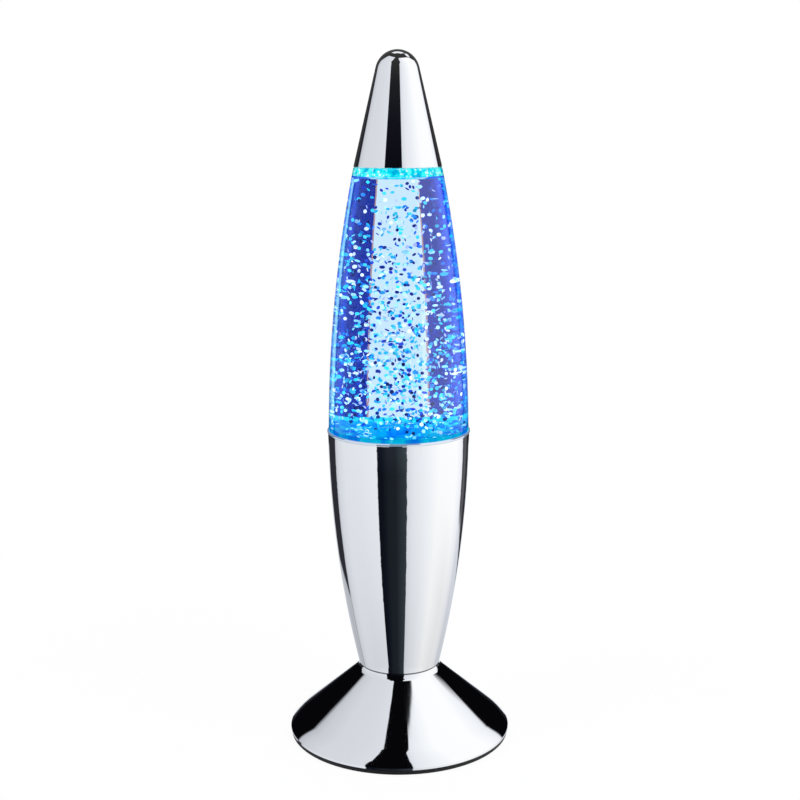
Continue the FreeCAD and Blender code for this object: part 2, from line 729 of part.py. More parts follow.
def board_parts():
    """The colour controller and its three resistors, on the board between the lamps."""
    chip = bar(CHIP_LENGTH, CHIP_WIDTH, BOARD_TOP, BOARD_TOP + CHIP_THICK, LED_AT)
    resistor = bar(RESISTOR_LENGTH, RESISTOR_WIDTH, BOARD_TOP, BOARD_TOP + RESISTOR_THICK, LED_AT)
    return group([chip] + [turned_to(resistor, turn) for turn in RESISTOR_TURNS])


def light_cover():
    low = TRAY_TOP + LIFT_GAP
    rim_r = TRAY_R - TRAY_WALL - SEAT_GAP
    return turned((0, low), (rim_r - COVER_RIM_WALL, low), (rim_r - COVER_RIM_WALL, low - COVER_RIM),
                  (rim_r, low - COVER_RIM), (rim_r, low), (TRAY_R, low), (TRAY_R, low + COVER_THICK),
                  (0, low + COVER_THICK))


# Motor

MOTOR_LOW = TRAY_FLOOR - MOTOR_LENGTH
MOTOR_BACK = MOTOR_LOW - END_CAP_THICK
COMMUTATOR_LOW = MOTOR_LOW + SEAT_GAP
CORE_LOW = COMMUTATOR_LOW + COMMUTATOR_HEIGHT
CARRIER_LOW = BOARD_TOP + CARRIER_TO_BOARD
TERMINAL_LOW = MOTOR_BACK - TERMINAL_LENGTH


def motor_can():
    inside = TRAY_FLOOR - MOTOR_SKIN
    bearing = SHAFT_R + RUN_GAP
    nose = TRAY_FLOOR + MOTOR_NOSE
    can = turned((MOTOR_R, MOTOR_LOW), (MOTOR_R, TRAY_FLOOR - EDGE_BREAK), (MOTOR_R - EDGE_BREAK, TRAY_FLOOR),
                 (MOTOR_NOSE_R, TRAY_FLOOR), (MOTOR_NOSE_R, nose), (bearing, nose), (bearing, inside),
                 (MOTOR_R - MOTOR_SKIN, inside), (MOTOR_R - MOTOR_SKIN, MOTOR_LOW))
    return can.cut([cylinder(MOTOR_SCREW_R + SNUG_GAP, inside, TRAY_FLOOR, x) for x in MOTOR_SCREW_PLACES])


def terminal(low, x, gap=0.0):
    """One of the motor's two terminals, or with a gap the slot for it."""
    return bar(TERMINAL_WIDTH + 2 * gap, TERMINAL_THICK + 2 * gap, low, MOTOR_LOW, x, -TERMINAL_BACK)


def motor_end_cap():
    bearing = SHAFT_R + RUN_GAP
    boss = MOTOR_BACK - END_BOSS
    cap = turned((MOTOR_R, MOTOR_BACK), (MOTOR_R, MOTOR_LOW), (bearing, MOTOR_LOW), (bearing, boss),
                 (MOTOR_NOSE_R, boss), (MOTOR_NOSE_R, MOTOR_BACK))
    return cap.cut([terminal(MOTOR_BACK, x, SNUG_GAP) for x in (-TERMINAL_SPREAD, TERMINAL_SPREAD)])


def motor_terminals():
    return group([terminal(TERMINAL_LOW, x) for x in (-TERMINAL_SPREAD, TERMINAL_SPREAD)])


def motor_magnet():
    outer = MOTOR_R - MOTOR_SKIN - SNUG_GAP
    return ring(outer, outer - FIELD_MAGNET_WALL, MOTOR_LOW + MOTOR_SKIN, TRAY_FLOOR - 2 * MOTOR_SKIN)


def motor_shaft():
    return cylinder(SHAFT_R, MOTOR_BACK - END_BOSS + SEAT_GAP, CARRIER_LOW + CARRIER_THICK - 2 * SEAT_GAP)


def motor_armature():
    core_top = CORE_LOW + CORE_HEIGHT
    core = cylinder(CORE_R, CORE_LOW, core_top)
    slot = block(CORE_YOKE_R, CORE_R, -CORE_SLOT_WIDTH / 2, CORE_SLOT_WIDTH / 2, CORE_LOW, core_top)
    slots = [turned_to(slot, 360.0 / CORE_SLOTS * i) for i in range(CORE_SLOTS)]
    commutator = cylinder(COMMUTATOR_R, COMMUTATOR_LOW, CORE_LOW)
    bore = cylinder(SHAFT_R + SNUG_GAP, COMMUTATOR_LOW, core_top)
    return joined(core, commutator).cut(slots + [bore])


def magnet_carrier():
    top = CARRIER_LOW + CARRIER_THICK
    bore = cylinder(SHAFT_R + SNUG_GAP, CARRIER_LOW, top - SEAT_GAP)
    pockets = [cylinder(DRIVE_MAGNET_R + SNUG_GAP, top - DRIVE_MAGNET_HEIGHT - FILL_GAP, top, x)
               for x in (-DRIVE_MAGNET_AT, DRIVE_MAGNET_AT)]
    return cylinder(CARRIER_R, CARRIER_LOW, top).cut(pockets + [bore])


def drive_magnets():
    top = CARRIER_LOW + CARRIER_THICK
    return group([cylinder(DRIVE_MAGNET_R, top - DRIVE_MAGNET_HEIGHT, top, x)
                  for x in (-DRIVE_MAGNET_AT, DRIVE_MAGNET_AT)])


def motor_screws():
    length = TRAY_FLOOR_THICK + MOTOR_SKIN + SEAT_GAP
    return group([screw(x, 0, TRAY_DECK, length, MOTOR_SCREW_R, MOTOR_SCREW_HEAD_R, MOTOR_SCREW_HEAD, False)
                  for x in MOTOR_SCREW_PLACES])


# Foot

PLATE_PLACES = around(PLATE_SCREWS, PLATE_SCREW_AT, PLATE_TURN)
PLATE_BOSS_TOP = FOOT_RIM + PLATE_BOSS


def foot_outline(inset, top):
    """The foot's outside, or with an inset its inside: an upright lip, a rounded shoulder, a
    straight cone, and a hollow curve into the neck that is tangent to the cone."""
    lip_r = FOOT_R - inset
    lip_top = SHOULDER.height_of(lip_r, inset)
    shoulder = (FOOT_R - SHOULDER_IN, FOOT_RIM + SHOULDER_RISE)
    neck = (NECK_R + NECK_FILLET, NECK_TOP)
    fillet_r = NECK_FILLET + inset
    away = (neck[0] - shoulder[0], neck[1] - shoulder[1])
    facing = math.atan2(away[1], away[0]) - math.acos(NECK_FILLET / math.hypot(*away))
    out = (math.cos(facing), math.sin(facing))
    cone_low = (shoulder[0] - inset * out[0], shoulder[1] - inset * out[1])
    cone_high = (neck[0] - fillet_r * out[0], neck[1] - fillet_r * out[1])
    mid_z = (cone_high[1] + top) / 2
    mid_r, top_r = [neck[0] - math.sqrt(fillet_r ** 2 - (neck[1] - z) ** 2) for z in (mid_z, top)]
    return turned((0, FOOT_RIM), (lip_r, FOOT_RIM), (lip_r, lip_top),
                  ("arc", SHOULDER.at((lip_top + cone_low[1]) / 2, inset), cone_low),
                  cone_high, ("arc", (mid_r, mid_z), (top_r, top)), (0, top))


def foot_shell():
    flange = NECK_TOP - FLANGE_THICK
    bosses = [cylinder(BOSS_R, PLATE_BOSS_TOP, NECK_TOP, x, y) for x, y in PLATE_PLACES]
    hollow = foot_outline(FOOT_WALL, flange).cut(bosses)
    drills = [cylinder(SCREW_R + SNUG_GAP, PLATE_BOSS_TOP, PLATE_BOSS_TOP + PLATE_SCREW_BITE, x, y)
              for x, y in PLATE_PLACES]
    drills += [cylinder(SCREW_R + SEAT_GAP, flange, NECK_TOP, x, y) for x, y in JOINING_PLACES]
    way = cylinder(WIRE_WAY_R, flange, NECK_TOP)
    return foot_outline(0, NECK_TOP).cut([hollow, way] + drills)


# Base plate and cell bay

BAY_HALF_X = (CELL_LENGTH + SPRING_LENGTH) / 2 + CONTACT_THICK
BAY_HALF_Y = CELL_PITCH + CELL_R + SEAT_GAP * 2
BAY_TOP = CELL_AXIS + CELL_R + BAY_HEADROOM
ROOF_TOP = BAY_TOP + BAY_ROOF
BAY_SLOPE = BAY_HALF_Y + BAY_TOP - (CELL_PITCH + CELL_AXIS) - (CELL_R + SEAT_GAP) * math.sqrt(2)
DOOR_TOP = DOOR_FACE + DOOR_THICK
DOOR_HINGE_X = BAY_HALF_X + BAY_WALL + DOOR_EDGE_LAND
DOOR_FAR_X = -(BAY_HALF_X + BAY_WALL + DOOR_SCREW_LAND)
DOOR_HALF_Y = BAY_HALF_Y + BAY_WALL + SEAT_GAP
DOOR_SCREW_X = DOOR_FAR_X + DOOR_SCREW_LAND / 2
FRAME_TOP = FOOT_RIM + FRAME_THICK
TAB_LOW = DOOR_TOP - TAB_THICK
TAB_SWING = math.hypot(TAB_LENGTH, DOOR_THICK) + SEAT_GAP
TAB_PLACES = (-TAB_AT, TAB_AT)
PAD_PLACES = around(PADS, PAD_AT, PAD_TURN)
UPSTAND_TOP = FOOT_RIM + UPSTAND_HEIGHT
UPSTAND_R = SHOULDER.at(UPSTAND_TOP, FOOT_WALL)[0] - SEAT_GAP
SWITCH_SCREW_PLACES = (-SWITCH_SCREW_AT, SWITCH_SCREW_AT)
TAB_CONTACTS = ((BAY_HALF_X - CONTACT_THICK, CELL_PITCH), (-BAY_HALF_X, -CELL_PITCH))
SWITCH_HALF_SLOT = (SWITCH_TRAVEL + KNOB_LENGTH) / 2 + SEAT_GAP


def bay_block(half_x, half_y, low, high, slope):
    """A box over the cells whose two long top edges are sloped to follow the round cells."""
    side = [(half_y, low), (half_y, high - slope), (half_y - slope, high)]
    outline = side + [(-y, z) for y, z in reversed(side)] + side[:1]
    end = Part.Face(Part.makePolygon([Vector(-half_x, y, z) for y, z in outline]))
    return end.extrude(Vector(2 * half_x, 0, 0))


def base_plate():
    """The black plate that closes the foot, moulded in one piece with the cell bay."""
    outer_slope = BAY_SLOPE + BAY_WALL + BAY_ROOF - BAY_ROOF * math.sqrt(2)
    plate = turned((0, PLATE_BOTTOM), (PLATE_R - EDGE_BREAK, PLATE_BOTTOM),
                   (PLATE_R, PLATE_BOTTOM + EDGE_BREAK), (PLATE_R, FOOT_RIM), (0, FOOT_RIM))
    upstand = ring(UPSTAND_R, UPSTAND_R - UPSTAND_WALL, PLATE_BOTTOM, UPSTAND_TOP)
    frame = block(DOOR_FAR_X - FRAME_WIDTH, DOOR_HINGE_X + TAB_LENGTH + FRAME_WIDTH,
                  -DOOR_HALF_Y - FRAME_WIDTH, DOOR_HALF_Y + FRAME_WIDTH, PLATE_BOTTOM, FRAME_TOP)
    bay = bay_block(BAY_HALF_X + BAY_WALL, BAY_HALF_Y + BAY_WALL, PLATE_BOTTOM, ROOF_TOP, outer_slope)
    plate_bosses = [cylinder(BOSS_R + UPSTAND_WALL, PLATE_BOTTOM, PLATE_BOSS_TOP, x, y)
                    for x, y in PLATE_PLACES]
    door_boss = cylinder(BOSS_R, PLATE_BOTTOM, DOOR_SCREW_TOP + BAY_ROOF, DOOR_SCREW_X)
    whole = joined(plate, upstand, frame, bay, door_boss, *plate_bosses)
    return whole.cut(door_rooms() + contact_slots() + plate_drills() + switch_rooms())


def door_rooms():
    """Room for the cells, the door, its screw, and the arc that its tabs swing through."""
    rooms = [bay_block(BAY_HALF_X, BAY_HALF_Y, PLATE_BOTTOM, BAY_TOP, BAY_SLOPE),
             block(DOOR_FAR_X - SEAT_GAP, DOOR_HINGE_X + SEAT_GAP, -DOOR_HALF_Y - SEAT_GAP,
                   DOOR_HALF_Y + SEAT_GAP, PLATE_BOTTOM, DOOR_TOP + LIFT_GAP),
             cylinder(DOOR_SCREW_R + DOOR_SCREW_SWING, DOOR_TOP, DOOR_SCREW_TOP + SEAT_GAP, DOOR_SCREW_X)]
    half_w = TAB_WIDTH / 2 + SEAT_GAP
    rooms += [block(BAY_HALF_X, DOOR_HINGE_X + TAB_LENGTH + SEAT_GAP, y - half_w, y + half_w,
                    TAB_LOW - TAB_GAP, DOOR_FACE + TAB_SWING) for y in TAB_PLACES]
    return rooms


def contact_slots():
    """Slots in the roof of the bay for the two contacts that leads are soldered to."""
    half = CONTACT_TAB / 2 + SNUG_GAP
    return [block(x - SNUG_GAP, x + CONTACT_THICK + SNUG_GAP, y - half, y + half, BAY_TOP, ROOF_TOP)
            for x, y in TAB_CONTACTS]


def plate_drills():
    drills = [cylinder(SCREW_HEAD_R + SEAT_GAP, PLATE_BOTTOM, PLATE_SCREW_SEAT, x, y)
              for x, y in PLATE_PLACES]
    drills += [cylinder(SCREW_R + SEAT_GAP, PLATE_BOTTOM, PLATE_BOSS_TOP, x, y) for x, y in PLATE_PLACES]
    drills += [cylinder(PAD_R + LIFT_GAP, PLATE_BOTTOM, PAD_THICK, x, y) for x, y in PAD_PLACES]
    drills += [cylinder(SWITCH_SCREW_R + SNUG_GAP, FOOT_RIM - SWITCH_SCREW_BITE, FOOT_RIM, x, SWITCH_AT)
               for x in SWITCH_SCREW_PLACES]
    return drills


def switch_rooms():
    """The slot that the knob slides in, and the shallow hollow for a finger round it."""
    return [bar(FINGER_LENGTH, FINGER_WIDTH, PLATE_BOTTOM, PLATE_BOTTOM + FINGER_DEPTH, 0, SWITCH_AT),
            bar(2 * SWITCH_HALF_SLOT, KNOB_WIDTH + 2 * SEAT_GAP, PLATE_BOTTOM, FOOT_RIM, 0, SWITCH_AT)]


def rubber_pads():
    return group([cylinder(PAD_R, 0, PAD_THICK, x, y) for x, y in PAD_PLACES])


def plate_screws():
    length = PLATE_BOSS_TOP - PLATE_SCREW_SEAT + PLATE_SCREW_BITE - EDGE_BREAK
    return group([screw(x, y, PLATE_SCREW_SEAT - SCREW_HEAD, length) for x, y in PLATE_PLACES])


# Cells, contacts and springs

CELL_ROWS = ((CELL_PITCH, 1), (0.0, -1), (-CELL_PITCH, 1))
CONTACT_TAB_TOP = ROOF_TOP + CONTACT_TAB_RISE
ALONG_X = Vector(1, 0, 0)


def flipped(shape, way):
    """The shape as it is for way 1, or turned end for end about Z for way -1."""
    return shape if way > 0 else turned_to(shape, HALF_TURN)


def cells():
    """Three cells: +X ends are positive in the outer rows, and negative in the middle one."""
    positive = BAY_HALF_X - CONTACT_THICK
    end = Vector(positive - CELL_LENGTH, 0, CELL_AXIS)
    shoulder = Vector(positive - CELL_NUB, 0, CELL_AXIS)
    can = Part.makeCylinder(CELL_R, CELL_LENGTH - CELL_NUB, end, ALONG_X)
    nub = Part.makeCylinder(CELL_NUB_R, CELL_NUB, shoulder, ALONG_X)
    cell = joined(can, nub)
    row = []
    for y, way in CELL_ROWS:
        copy = flipped(cell, way).copy()
        copy.translate(Vector(0, y, 0))
        row.append(copy)
    return group(row)


def contact(rows, side, tabbed=False):
    """One sheet contact across the given rows, against the bay's end wall at that side. A
    tabbed one has a soldering tab on its first row that comes out through the roof."""
    x = side * (BAY_HALF_X - CONTACT_THICK / 2)
    half = CONTACT_HEIGHT / 2
    plate = bar(CONTACT_THICK, CONTACT_WIDTH + max(rows) - min(rows), CELL_AXIS - half, CELL_AXIS + half,
                x, (max(rows) + min(rows)) / 2)
    if not tabbed:
        return plate
    return joined(plate, bar(CONTACT_THICK, CONTACT_TAB, CELL_AXIS, CONTACT_TAB_TOP, x, rows[0]))


def contacts():
    return group([contact([CELL_PITCH], 1, True), contact([0.0, -CELL_PITCH], 1),
                  contact([CELL_PITCH, 0.0], -1), contact([-CELL_PITCH], -1, True)])


def contact_springs():
    """A conical spring behind the negative end of each cell."""
    spring = coil(SPRING_LENGTH - 2 * FILL_GAP, SPRING_TURNS, SPRING_WIDE_R, SPRING_NARROW_R, SPRING_WIRE_R)
    spring.rotate(Vector(0, 0, 0), Vector(0, 1, 0), 90)
    spring.translate(Vector(CONTACT_THICK + FILL_GAP - BAY_HALF_X, 0, CELL_AXIS))
    row = []
    for y, way in CELL_ROWS:
        copy = flipped(spring, way).copy()
        copy.translate(Vector(0, y, 0))
        row.append(copy)
    return group(row)


# Battery door

def battery_door():
    panel = block(DOOR_FAR_X, DOOR_HINGE_X, -DOOR_HALF_Y, DOOR_HALF_Y, DOOR_FACE, DOOR_TOP)
    tabs = [bar(2 * TAB_LENGTH, TAB_WIDTH, TAB_LOW, DOOR_TOP, DOOR_HINGE_X, y) for y in TAB_PLACES]
    grip_x = DOOR_FAR_X + GRIP_AT
    grips = [bar(GRIP_WIDTH, GRIP_LENGTH, DOOR_FACE, DOOR_FACE + EDGE_BREAK, grip_x + GRIP_PITCH * i)
             for i in range(GRIPS)]
    screw_seat = cylinder(DOOR_SCREW_HEAD_R + SEAT_GAP, DOOR_FACE, DOOR_SCREW_SEAT, DOOR_SCREW_X)
    screw_hole = cylinder(DOOR_SCREW_R + FILL_GAP, DOOR_FACE, DOOR_TOP, DOOR_SCREW_X)
    return joined(panel, *tabs).cut(grips + [screw_seat, screw_hole])


def door_screw():
    return screw(DOOR_SCREW_X, 0, DOOR_SCREW_SEAT - DOOR_SCREW_HEAD, DOOR_SCREW_TOP - DOOR_SCREW_SEAT,
                 DOOR_SCREW_R, DOOR_SCREW_HEAD_R, DOOR_SCREW_HEAD)


# Switch

SWITCH_DECK = FOOT_RIM + SWITCH_FLANGE_THICK
SWITCH_TERMINAL_TOP = SWITCH_DECK + SWITCH_HEIGHT + SWITCH_TERMINAL_LENGTH
KNOB_AT = SWITCH_TRAVEL / 2


def switch_body():
    top = SWITCH_DECK + SWITCH_HEIGHT
    flange = bar(SWITCH_FLANGE, SWITCH_WIDTH, FOOT_RIM, SWITCH_DECK, 0, SWITCH_AT)
    case = bar(SWITCH_LENGTH, SWITCH_WIDTH, SWITCH_DECK, top, 0, SWITCH_AT)
    inside = bar(SWITCH_LENGTH - 2 * SWITCH_SKIN, SWITCH_WIDTH - 2 * SWITCH_SKIN, SWITCH_DECK,
                 SWITCH_DECK + SLIDER_HEIGHT + 2 * SEAT_GAP, 0, SWITCH_AT)
    slot = bar(2 * SWITCH_HALF_SLOT, KNOB_WIDTH + 2 * SEAT_GAP, FOOT_RIM, SWITCH_DECK, 0, SWITCH_AT)
    holes = [cylinder(SWITCH_SCREW_R + FILL_GAP, FOOT_RIM, SWITCH_DECK, x, SWITCH_AT)
             for x in SWITCH_SCREW_PLACES]
    return joined(flange, case).cut([inside, slot] + holes)


def switch_terminals():
    return group([bar(SWITCH_TERMINAL_WIDTH, SWITCH_TERMINAL_THICK, SWITCH_DECK + SWITCH_HEIGHT,
                      SWITCH_TERMINAL_TOP, x, SWITCH_AT)
                  for x in (-SWITCH_TERMINAL_PITCH, 0, SWITCH_TERMINAL_PITCH)])


def switch_screws():
    return group([screw(x, SWITCH_AT, SWITCH_DECK, SWITCH_FLANGE_THICK + SWITCH_SCREW_BITE - LIFT_GAP,
                        SWITCH_SCREW_R, SWITCH_SCREW_HEAD_R, SWITCH_SCREW_HEAD, up=False)
                  for x in SWITCH_SCREW_PLACES])


def switch_knob():
    """The sliding knob, shown at its ON end, with the carriage inside the switch."""
    low = SWITCH_DECK + SEAT_GAP
    stem = bar(KNOB_LENGTH, KNOB_WIDTH, KNOB_FACE, low, KNOB_AT, SWITCH_AT)
    carriage = bar(KNOB_LENGTH, SWITCH_WIDTH - 2 * (SWITCH_SKIN + SEAT_GAP), low, low + SLIDER_HEIGHT,
                   KNOB_AT, SWITCH_AT)
    grooves = [bar(KNOB_GROOVE, KNOB_WIDTH, KNOB_FACE, KNOB_FACE + KNOB_GROOVE, KNOB_AT + x, SWITCH_AT)
               for x in KNOB_GROOVES]
    return joined(stem, carriage).cut(grooves)


# Leads inside the lamp. Each one's route is a list of points chosen by hand.

TAB_SOLDER = CONTACT_TAB_TOP - LEAD_R - LIFT_GAP


def onto_board(x, side):
    """The end of a route: up through a hole in the tray, over, and down onto the board."""
    return [(x, side * LEAD_HOLE_AT, TRAY_FLOOR - 7), (x, side * LEAD_HOLE_AT, BOARD_TOP + 1.1),
            (x, side * (SOLDER_AT + 3.5), BOARD_TOP + 2.7), (x, side * (SOLDER_AT + 1.1), BOARD_TOP + 2.7),
            (x, side * SOLDER_AT, BOARD_TOP + 1.4), (x, side * SOLDER_AT, BOARD_TOP)]


def switch_lead():
    """From the positive cell contact to the switch's end terminal."""
    x, y = TAB_CONTACTS[0]
    end = SWITCH_TERMINAL_PITCH
    return lead([(x, y, TAB_SOLDER), (23.5, y, TAB_SOLDER), (18.5, 13, 21), (14, 7.5, 21.8), (11, -1, 22),
                 (9, -10, 22), (7.4, -18.5, 21), (5.8, -26, 19), (4.2, -32, 16.8), (3.1, -36.4, 14.8),
                 (end, SWITCH_AT, 13.1), (end, SWITCH_AT, SWITCH_TERMINAL_TOP)])


def red_lead():
    """From the switch's middle terminal up through the neck to the board."""
    return lead([(0, SWITCH_AT, SWITCH_TERMINAL_TOP), (0, SWITCH_AT, 13.2), (-0.6, -35.8, 15.6),
                 (-1.2, -31, 18.2), (-1.2, -24.5, 21), (-0.6, -17.5, 24), (0.6, -11, 27.5), (1.8, -6, 32.5),
                 (2.6, -3, 39.5), (3.4, 0, 50), (3.9, 3.6, 64), (3, 9, 82), (1.6, 16, 100), (1, 22.6, 115)]
                + onto_board(LEAD_PAIR, 1))


def black_lead():
    """From the negative cell contact up through the neck to the board."""
    x, y = TAB_CONTACTS[1]
    return lead([(x + CONTACT_THICK, y, TAB_SOLDER), (-24, y, TAB_SOLDER), (-19.5, -12.8, 22),
                 (-14.5, -9, 25), (-9.5, -5.5, 28.6), (-5.6, -2.6, 33.5), (-4.2, -0.8, 40.5), (-4.2, 1, 50),
                 (-4.6, 4.4, 64), (-4, 10.4, 82), (-2.2, 17, 100), (-1, 22.8, 115)]
                + onto_board(-LEAD_PAIR, 1))


def motor_leads():
    """From the motor's two terminals down, round and up through the tray to the board."""
    pair = []
    for side in (-1, 1):
        x = side * TERMINAL_SPREAD
        route = [(x, -TERMINAL_BACK, TERMINAL_LOW), (x, -TERMINAL_BACK, TERMINAL_LOW - 3.9),
                 (side * 3.3, -9.5, 108.5), (side * 3, -14.5, 106), (side * 2.5, -20, 107),
                 (side * 1.8, -24.4, 111.5), (side * 1.2, -26.4, 118.5)]
        pair.append(lead(route + onto_board(side * LEAD_PAIR, -1)))
    return group(pair)


NODES = {
    "top_cap": top_cap,
    "bottle_shell": bottle_shell,
    "bottle_base": bottle_base,
    "filler_plug": filler_plug,
    "plug_seal": plug_seal,
    "glitter_fluid": glitter_fluid,
    "glitter_flakes": glitter_flakes,
    "stirrer": stirrer,
    "stirrer_magnets": stirrer_magnets,
    "stirrer_pin": stirrer_pin,
    "stirrer_keeper": stirrer_keeper,
    "lower_housing": lower_housing,
    "joining_screws": joining_screws,
    "light_cover": light_cover,
    "light_tray": light_tray,
    "tray_screws": tray_screws,
    "light_board": light_board,
    "leds": leds,
    "board_parts": board_parts,
    "motor_can": motor_can,
    "motor_end_cap": motor_end_cap,
    "motor_terminals": motor_terminals,
    "motor_magnet": motor_magnet,
    "motor_screws": motor_screws,
    "motor_shaft": motor_shaft,
    "motor_armature": motor_armature,
    "magnet_carrier": magnet_carrier,
    "drive_magnets": drive_magnets,
    "foot_shell": foot_shell,
    "base_plate": base_plate,
    "plate_screws": plate_screws,
    "rubber_pads": rubber_pads,
    "cells": cells,
    "contacts": contacts,
    "contact_springs": contact_springs,
    "battery_door": battery_door,
    "door_screw": door_screw,
    "switch_body": switch_body,
    "switch_terminals": switch_terminals,
    "switch_screws": switch_screws,
    "switch_knob": switch_knob,
    "switch_lead": switch_lead,
    "red_lead": red_lead,
    "black_lead": black_lead,
    "motor_leads": motor_leads,
}

os.makedirs("parts", exist_ok=True)
for name, make in NODES.items():
    shape = make()
    state = "valid" if shape.isValid() else "INVALID"
    print(name, len(shape.Solids), "solids", round(shape.Volume, 1), "mm3", state)
    shape.exportStep(os.path.join("parts", name + ".step"))
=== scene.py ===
"""A battery glitter lamp: chrome foot, housing and cap round a clear bottle of lit liquid and glitter.

The frame brings the made parts at their real sizes. This script gives each its finish, models the
liquid, the glitter in it and the lit ceiling of the bottle, and sets the floor, the light and the camera.
Lengths are in metres, angles in degrees where a name says so.
"""

import json
import math
import random

import bpy
from mathutils import Euler, Matrix, Vector


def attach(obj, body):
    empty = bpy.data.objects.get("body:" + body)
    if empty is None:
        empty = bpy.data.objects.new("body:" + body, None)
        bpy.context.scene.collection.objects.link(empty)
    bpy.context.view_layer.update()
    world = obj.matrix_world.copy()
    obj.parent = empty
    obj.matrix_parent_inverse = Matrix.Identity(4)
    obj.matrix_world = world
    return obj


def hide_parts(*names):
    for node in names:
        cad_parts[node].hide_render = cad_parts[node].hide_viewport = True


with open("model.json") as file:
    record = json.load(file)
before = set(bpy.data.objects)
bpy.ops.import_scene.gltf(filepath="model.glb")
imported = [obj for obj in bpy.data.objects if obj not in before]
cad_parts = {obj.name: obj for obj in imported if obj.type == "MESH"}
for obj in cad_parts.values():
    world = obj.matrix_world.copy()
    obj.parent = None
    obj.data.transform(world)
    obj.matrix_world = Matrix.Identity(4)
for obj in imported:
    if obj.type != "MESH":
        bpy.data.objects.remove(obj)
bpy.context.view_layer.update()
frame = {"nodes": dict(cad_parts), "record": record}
NODES = frame["nodes"]

bl_info = {
    "name": "Glitter lamp",
    "version": (1, 0, 0),
    "blender": (4, 5, 0),
    "location": "3D View > Sidebar > Lamp",
    "description": "Finishes, liquid, glitter, stage and camera for the lamp's frame",
    "category": "Object",
}

MM = 0.001

# Heights and sizes of the made parts that a finish or a new piece goes by.
SEAM_LOW, SEAM_HIGH = 36.9 * MM, 37.5 * MM
LIP_LOW, LIP_HIGH = 157.0 * MM, 170.0 * MM
BASE_RIM_R = 31.2 * MM
WET_LOW, WET_HIGH = 150.0 * MM, 290.0 * MM
WALL_THICK = 2.5 * MM
BOTTLE_FLOOR = 158.1 * MM
WELD = 159.7 * MM
CEILING_LOW = 280.3 * MM
CEILING_HIGH = 285.3 * MM
WELL = (13.0 * MM, 151.5 * MM)
NECK_BORE = 7.0 * MM
PLUG_LOW = 289.3 * MM
CAP_LOW = 284.0 * MM
LENS_GLOW_LOW = 142.5 * MM
WINDING_LOW, WINDING_HIGH = 123.5 * MM, 130.0 * MM
SLEEVE_END = 12.0 * MM
STIRRER_R, STIRRER_TOP = 10.0 * MM, 163.5 * MM
LIQUID_REACH = 0.032
LIQUID_DEPTH = 0.056

# Sizes of the new pieces.
TURN_STEPS = 160
OVERLAP = 0.05 * MM
GLOW_SKIN = 0.45 * MM
GLOW_LOW = CEILING_HIGH - 3.9 * MM
FLOOR_R = 4.0


# Colours

def seen(red, green, blue):
    """The linear colour of a tone as a screen shows it, on the screen's scale of 0 to 255."""
    return tuple(v / 12.92 if v <= 0.04045 else ((v + 0.055) / 1.055) ** 2.4
                 for v in (red / 255.0, green / 255.0, blue / 255.0))


# Node sums

class Wire:
    """One output in a node tree. A sum written with wires adds its Math nodes."""

    def __init__(self, tree, socket):
        self.tree = tree
        self.socket = socket

    def maths(self, operation, *values):
        node = self.tree.nodes.new("ShaderNodeMath")
        node.operation = operation
        for slot, value in zip(node.inputs, values):
            feed(self.tree, slot, value)
        return Wire(self.tree, node.outputs[0])

    def put_through(self, operation):
        """The wire after an operation that takes one value, such as its sine."""
        return self.maths(operation, self)

    def __add__(self, other):
        return self.maths("ADD", self, other)

    def __sub__(self, other):
        return self.maths("SUBTRACT", self, other)

    def __rsub__(self, other):
        return self.maths("SUBTRACT", other, self)

    def __mul__(self, other):
        return self.maths("MULTIPLY", self, other)

    def __truediv__(self, other):
        return self.maths("DIVIDE", self, other)

    def __neg__(self):
        return self.maths("MULTIPLY", self, -1.0)

    __radd__ = __add__
    __rmul__ = __mul__

    def above(self, level, soft):
        """0 well below the level and 1 well above it, with an even rise of that width between."""
        return self.maths("MINIMUM", self.maths("MAXIMUM", (self - level) / soft + 0.5, 0.0), 1.0)

    def between(self, low, high, soft):
        """1 from the low level to the high one, and 0 outside them."""
        return self.above(low, soft) * (1.0 - self.above(high, soft))

    def either(self, other):
        """The greater of two masks."""
        return self.maths("MAXIMUM", self, other)

    def output(self, name):
        """Another output of the same node."""
        return Wire(self.tree, self.socket.node.outputs[name])


def feed(tree, slot, value):
    """Links a wire to an input, or sets the input to a plain value."""
    if isinstance(value, Wire):
        tree.links.new(value.socket, slot)
    elif isinstance(value, tuple) and len(value) == 3 and slot.type == "RGBA":
        slot.default_value = value + (1.0,)
    else:
        slot.default_value = value


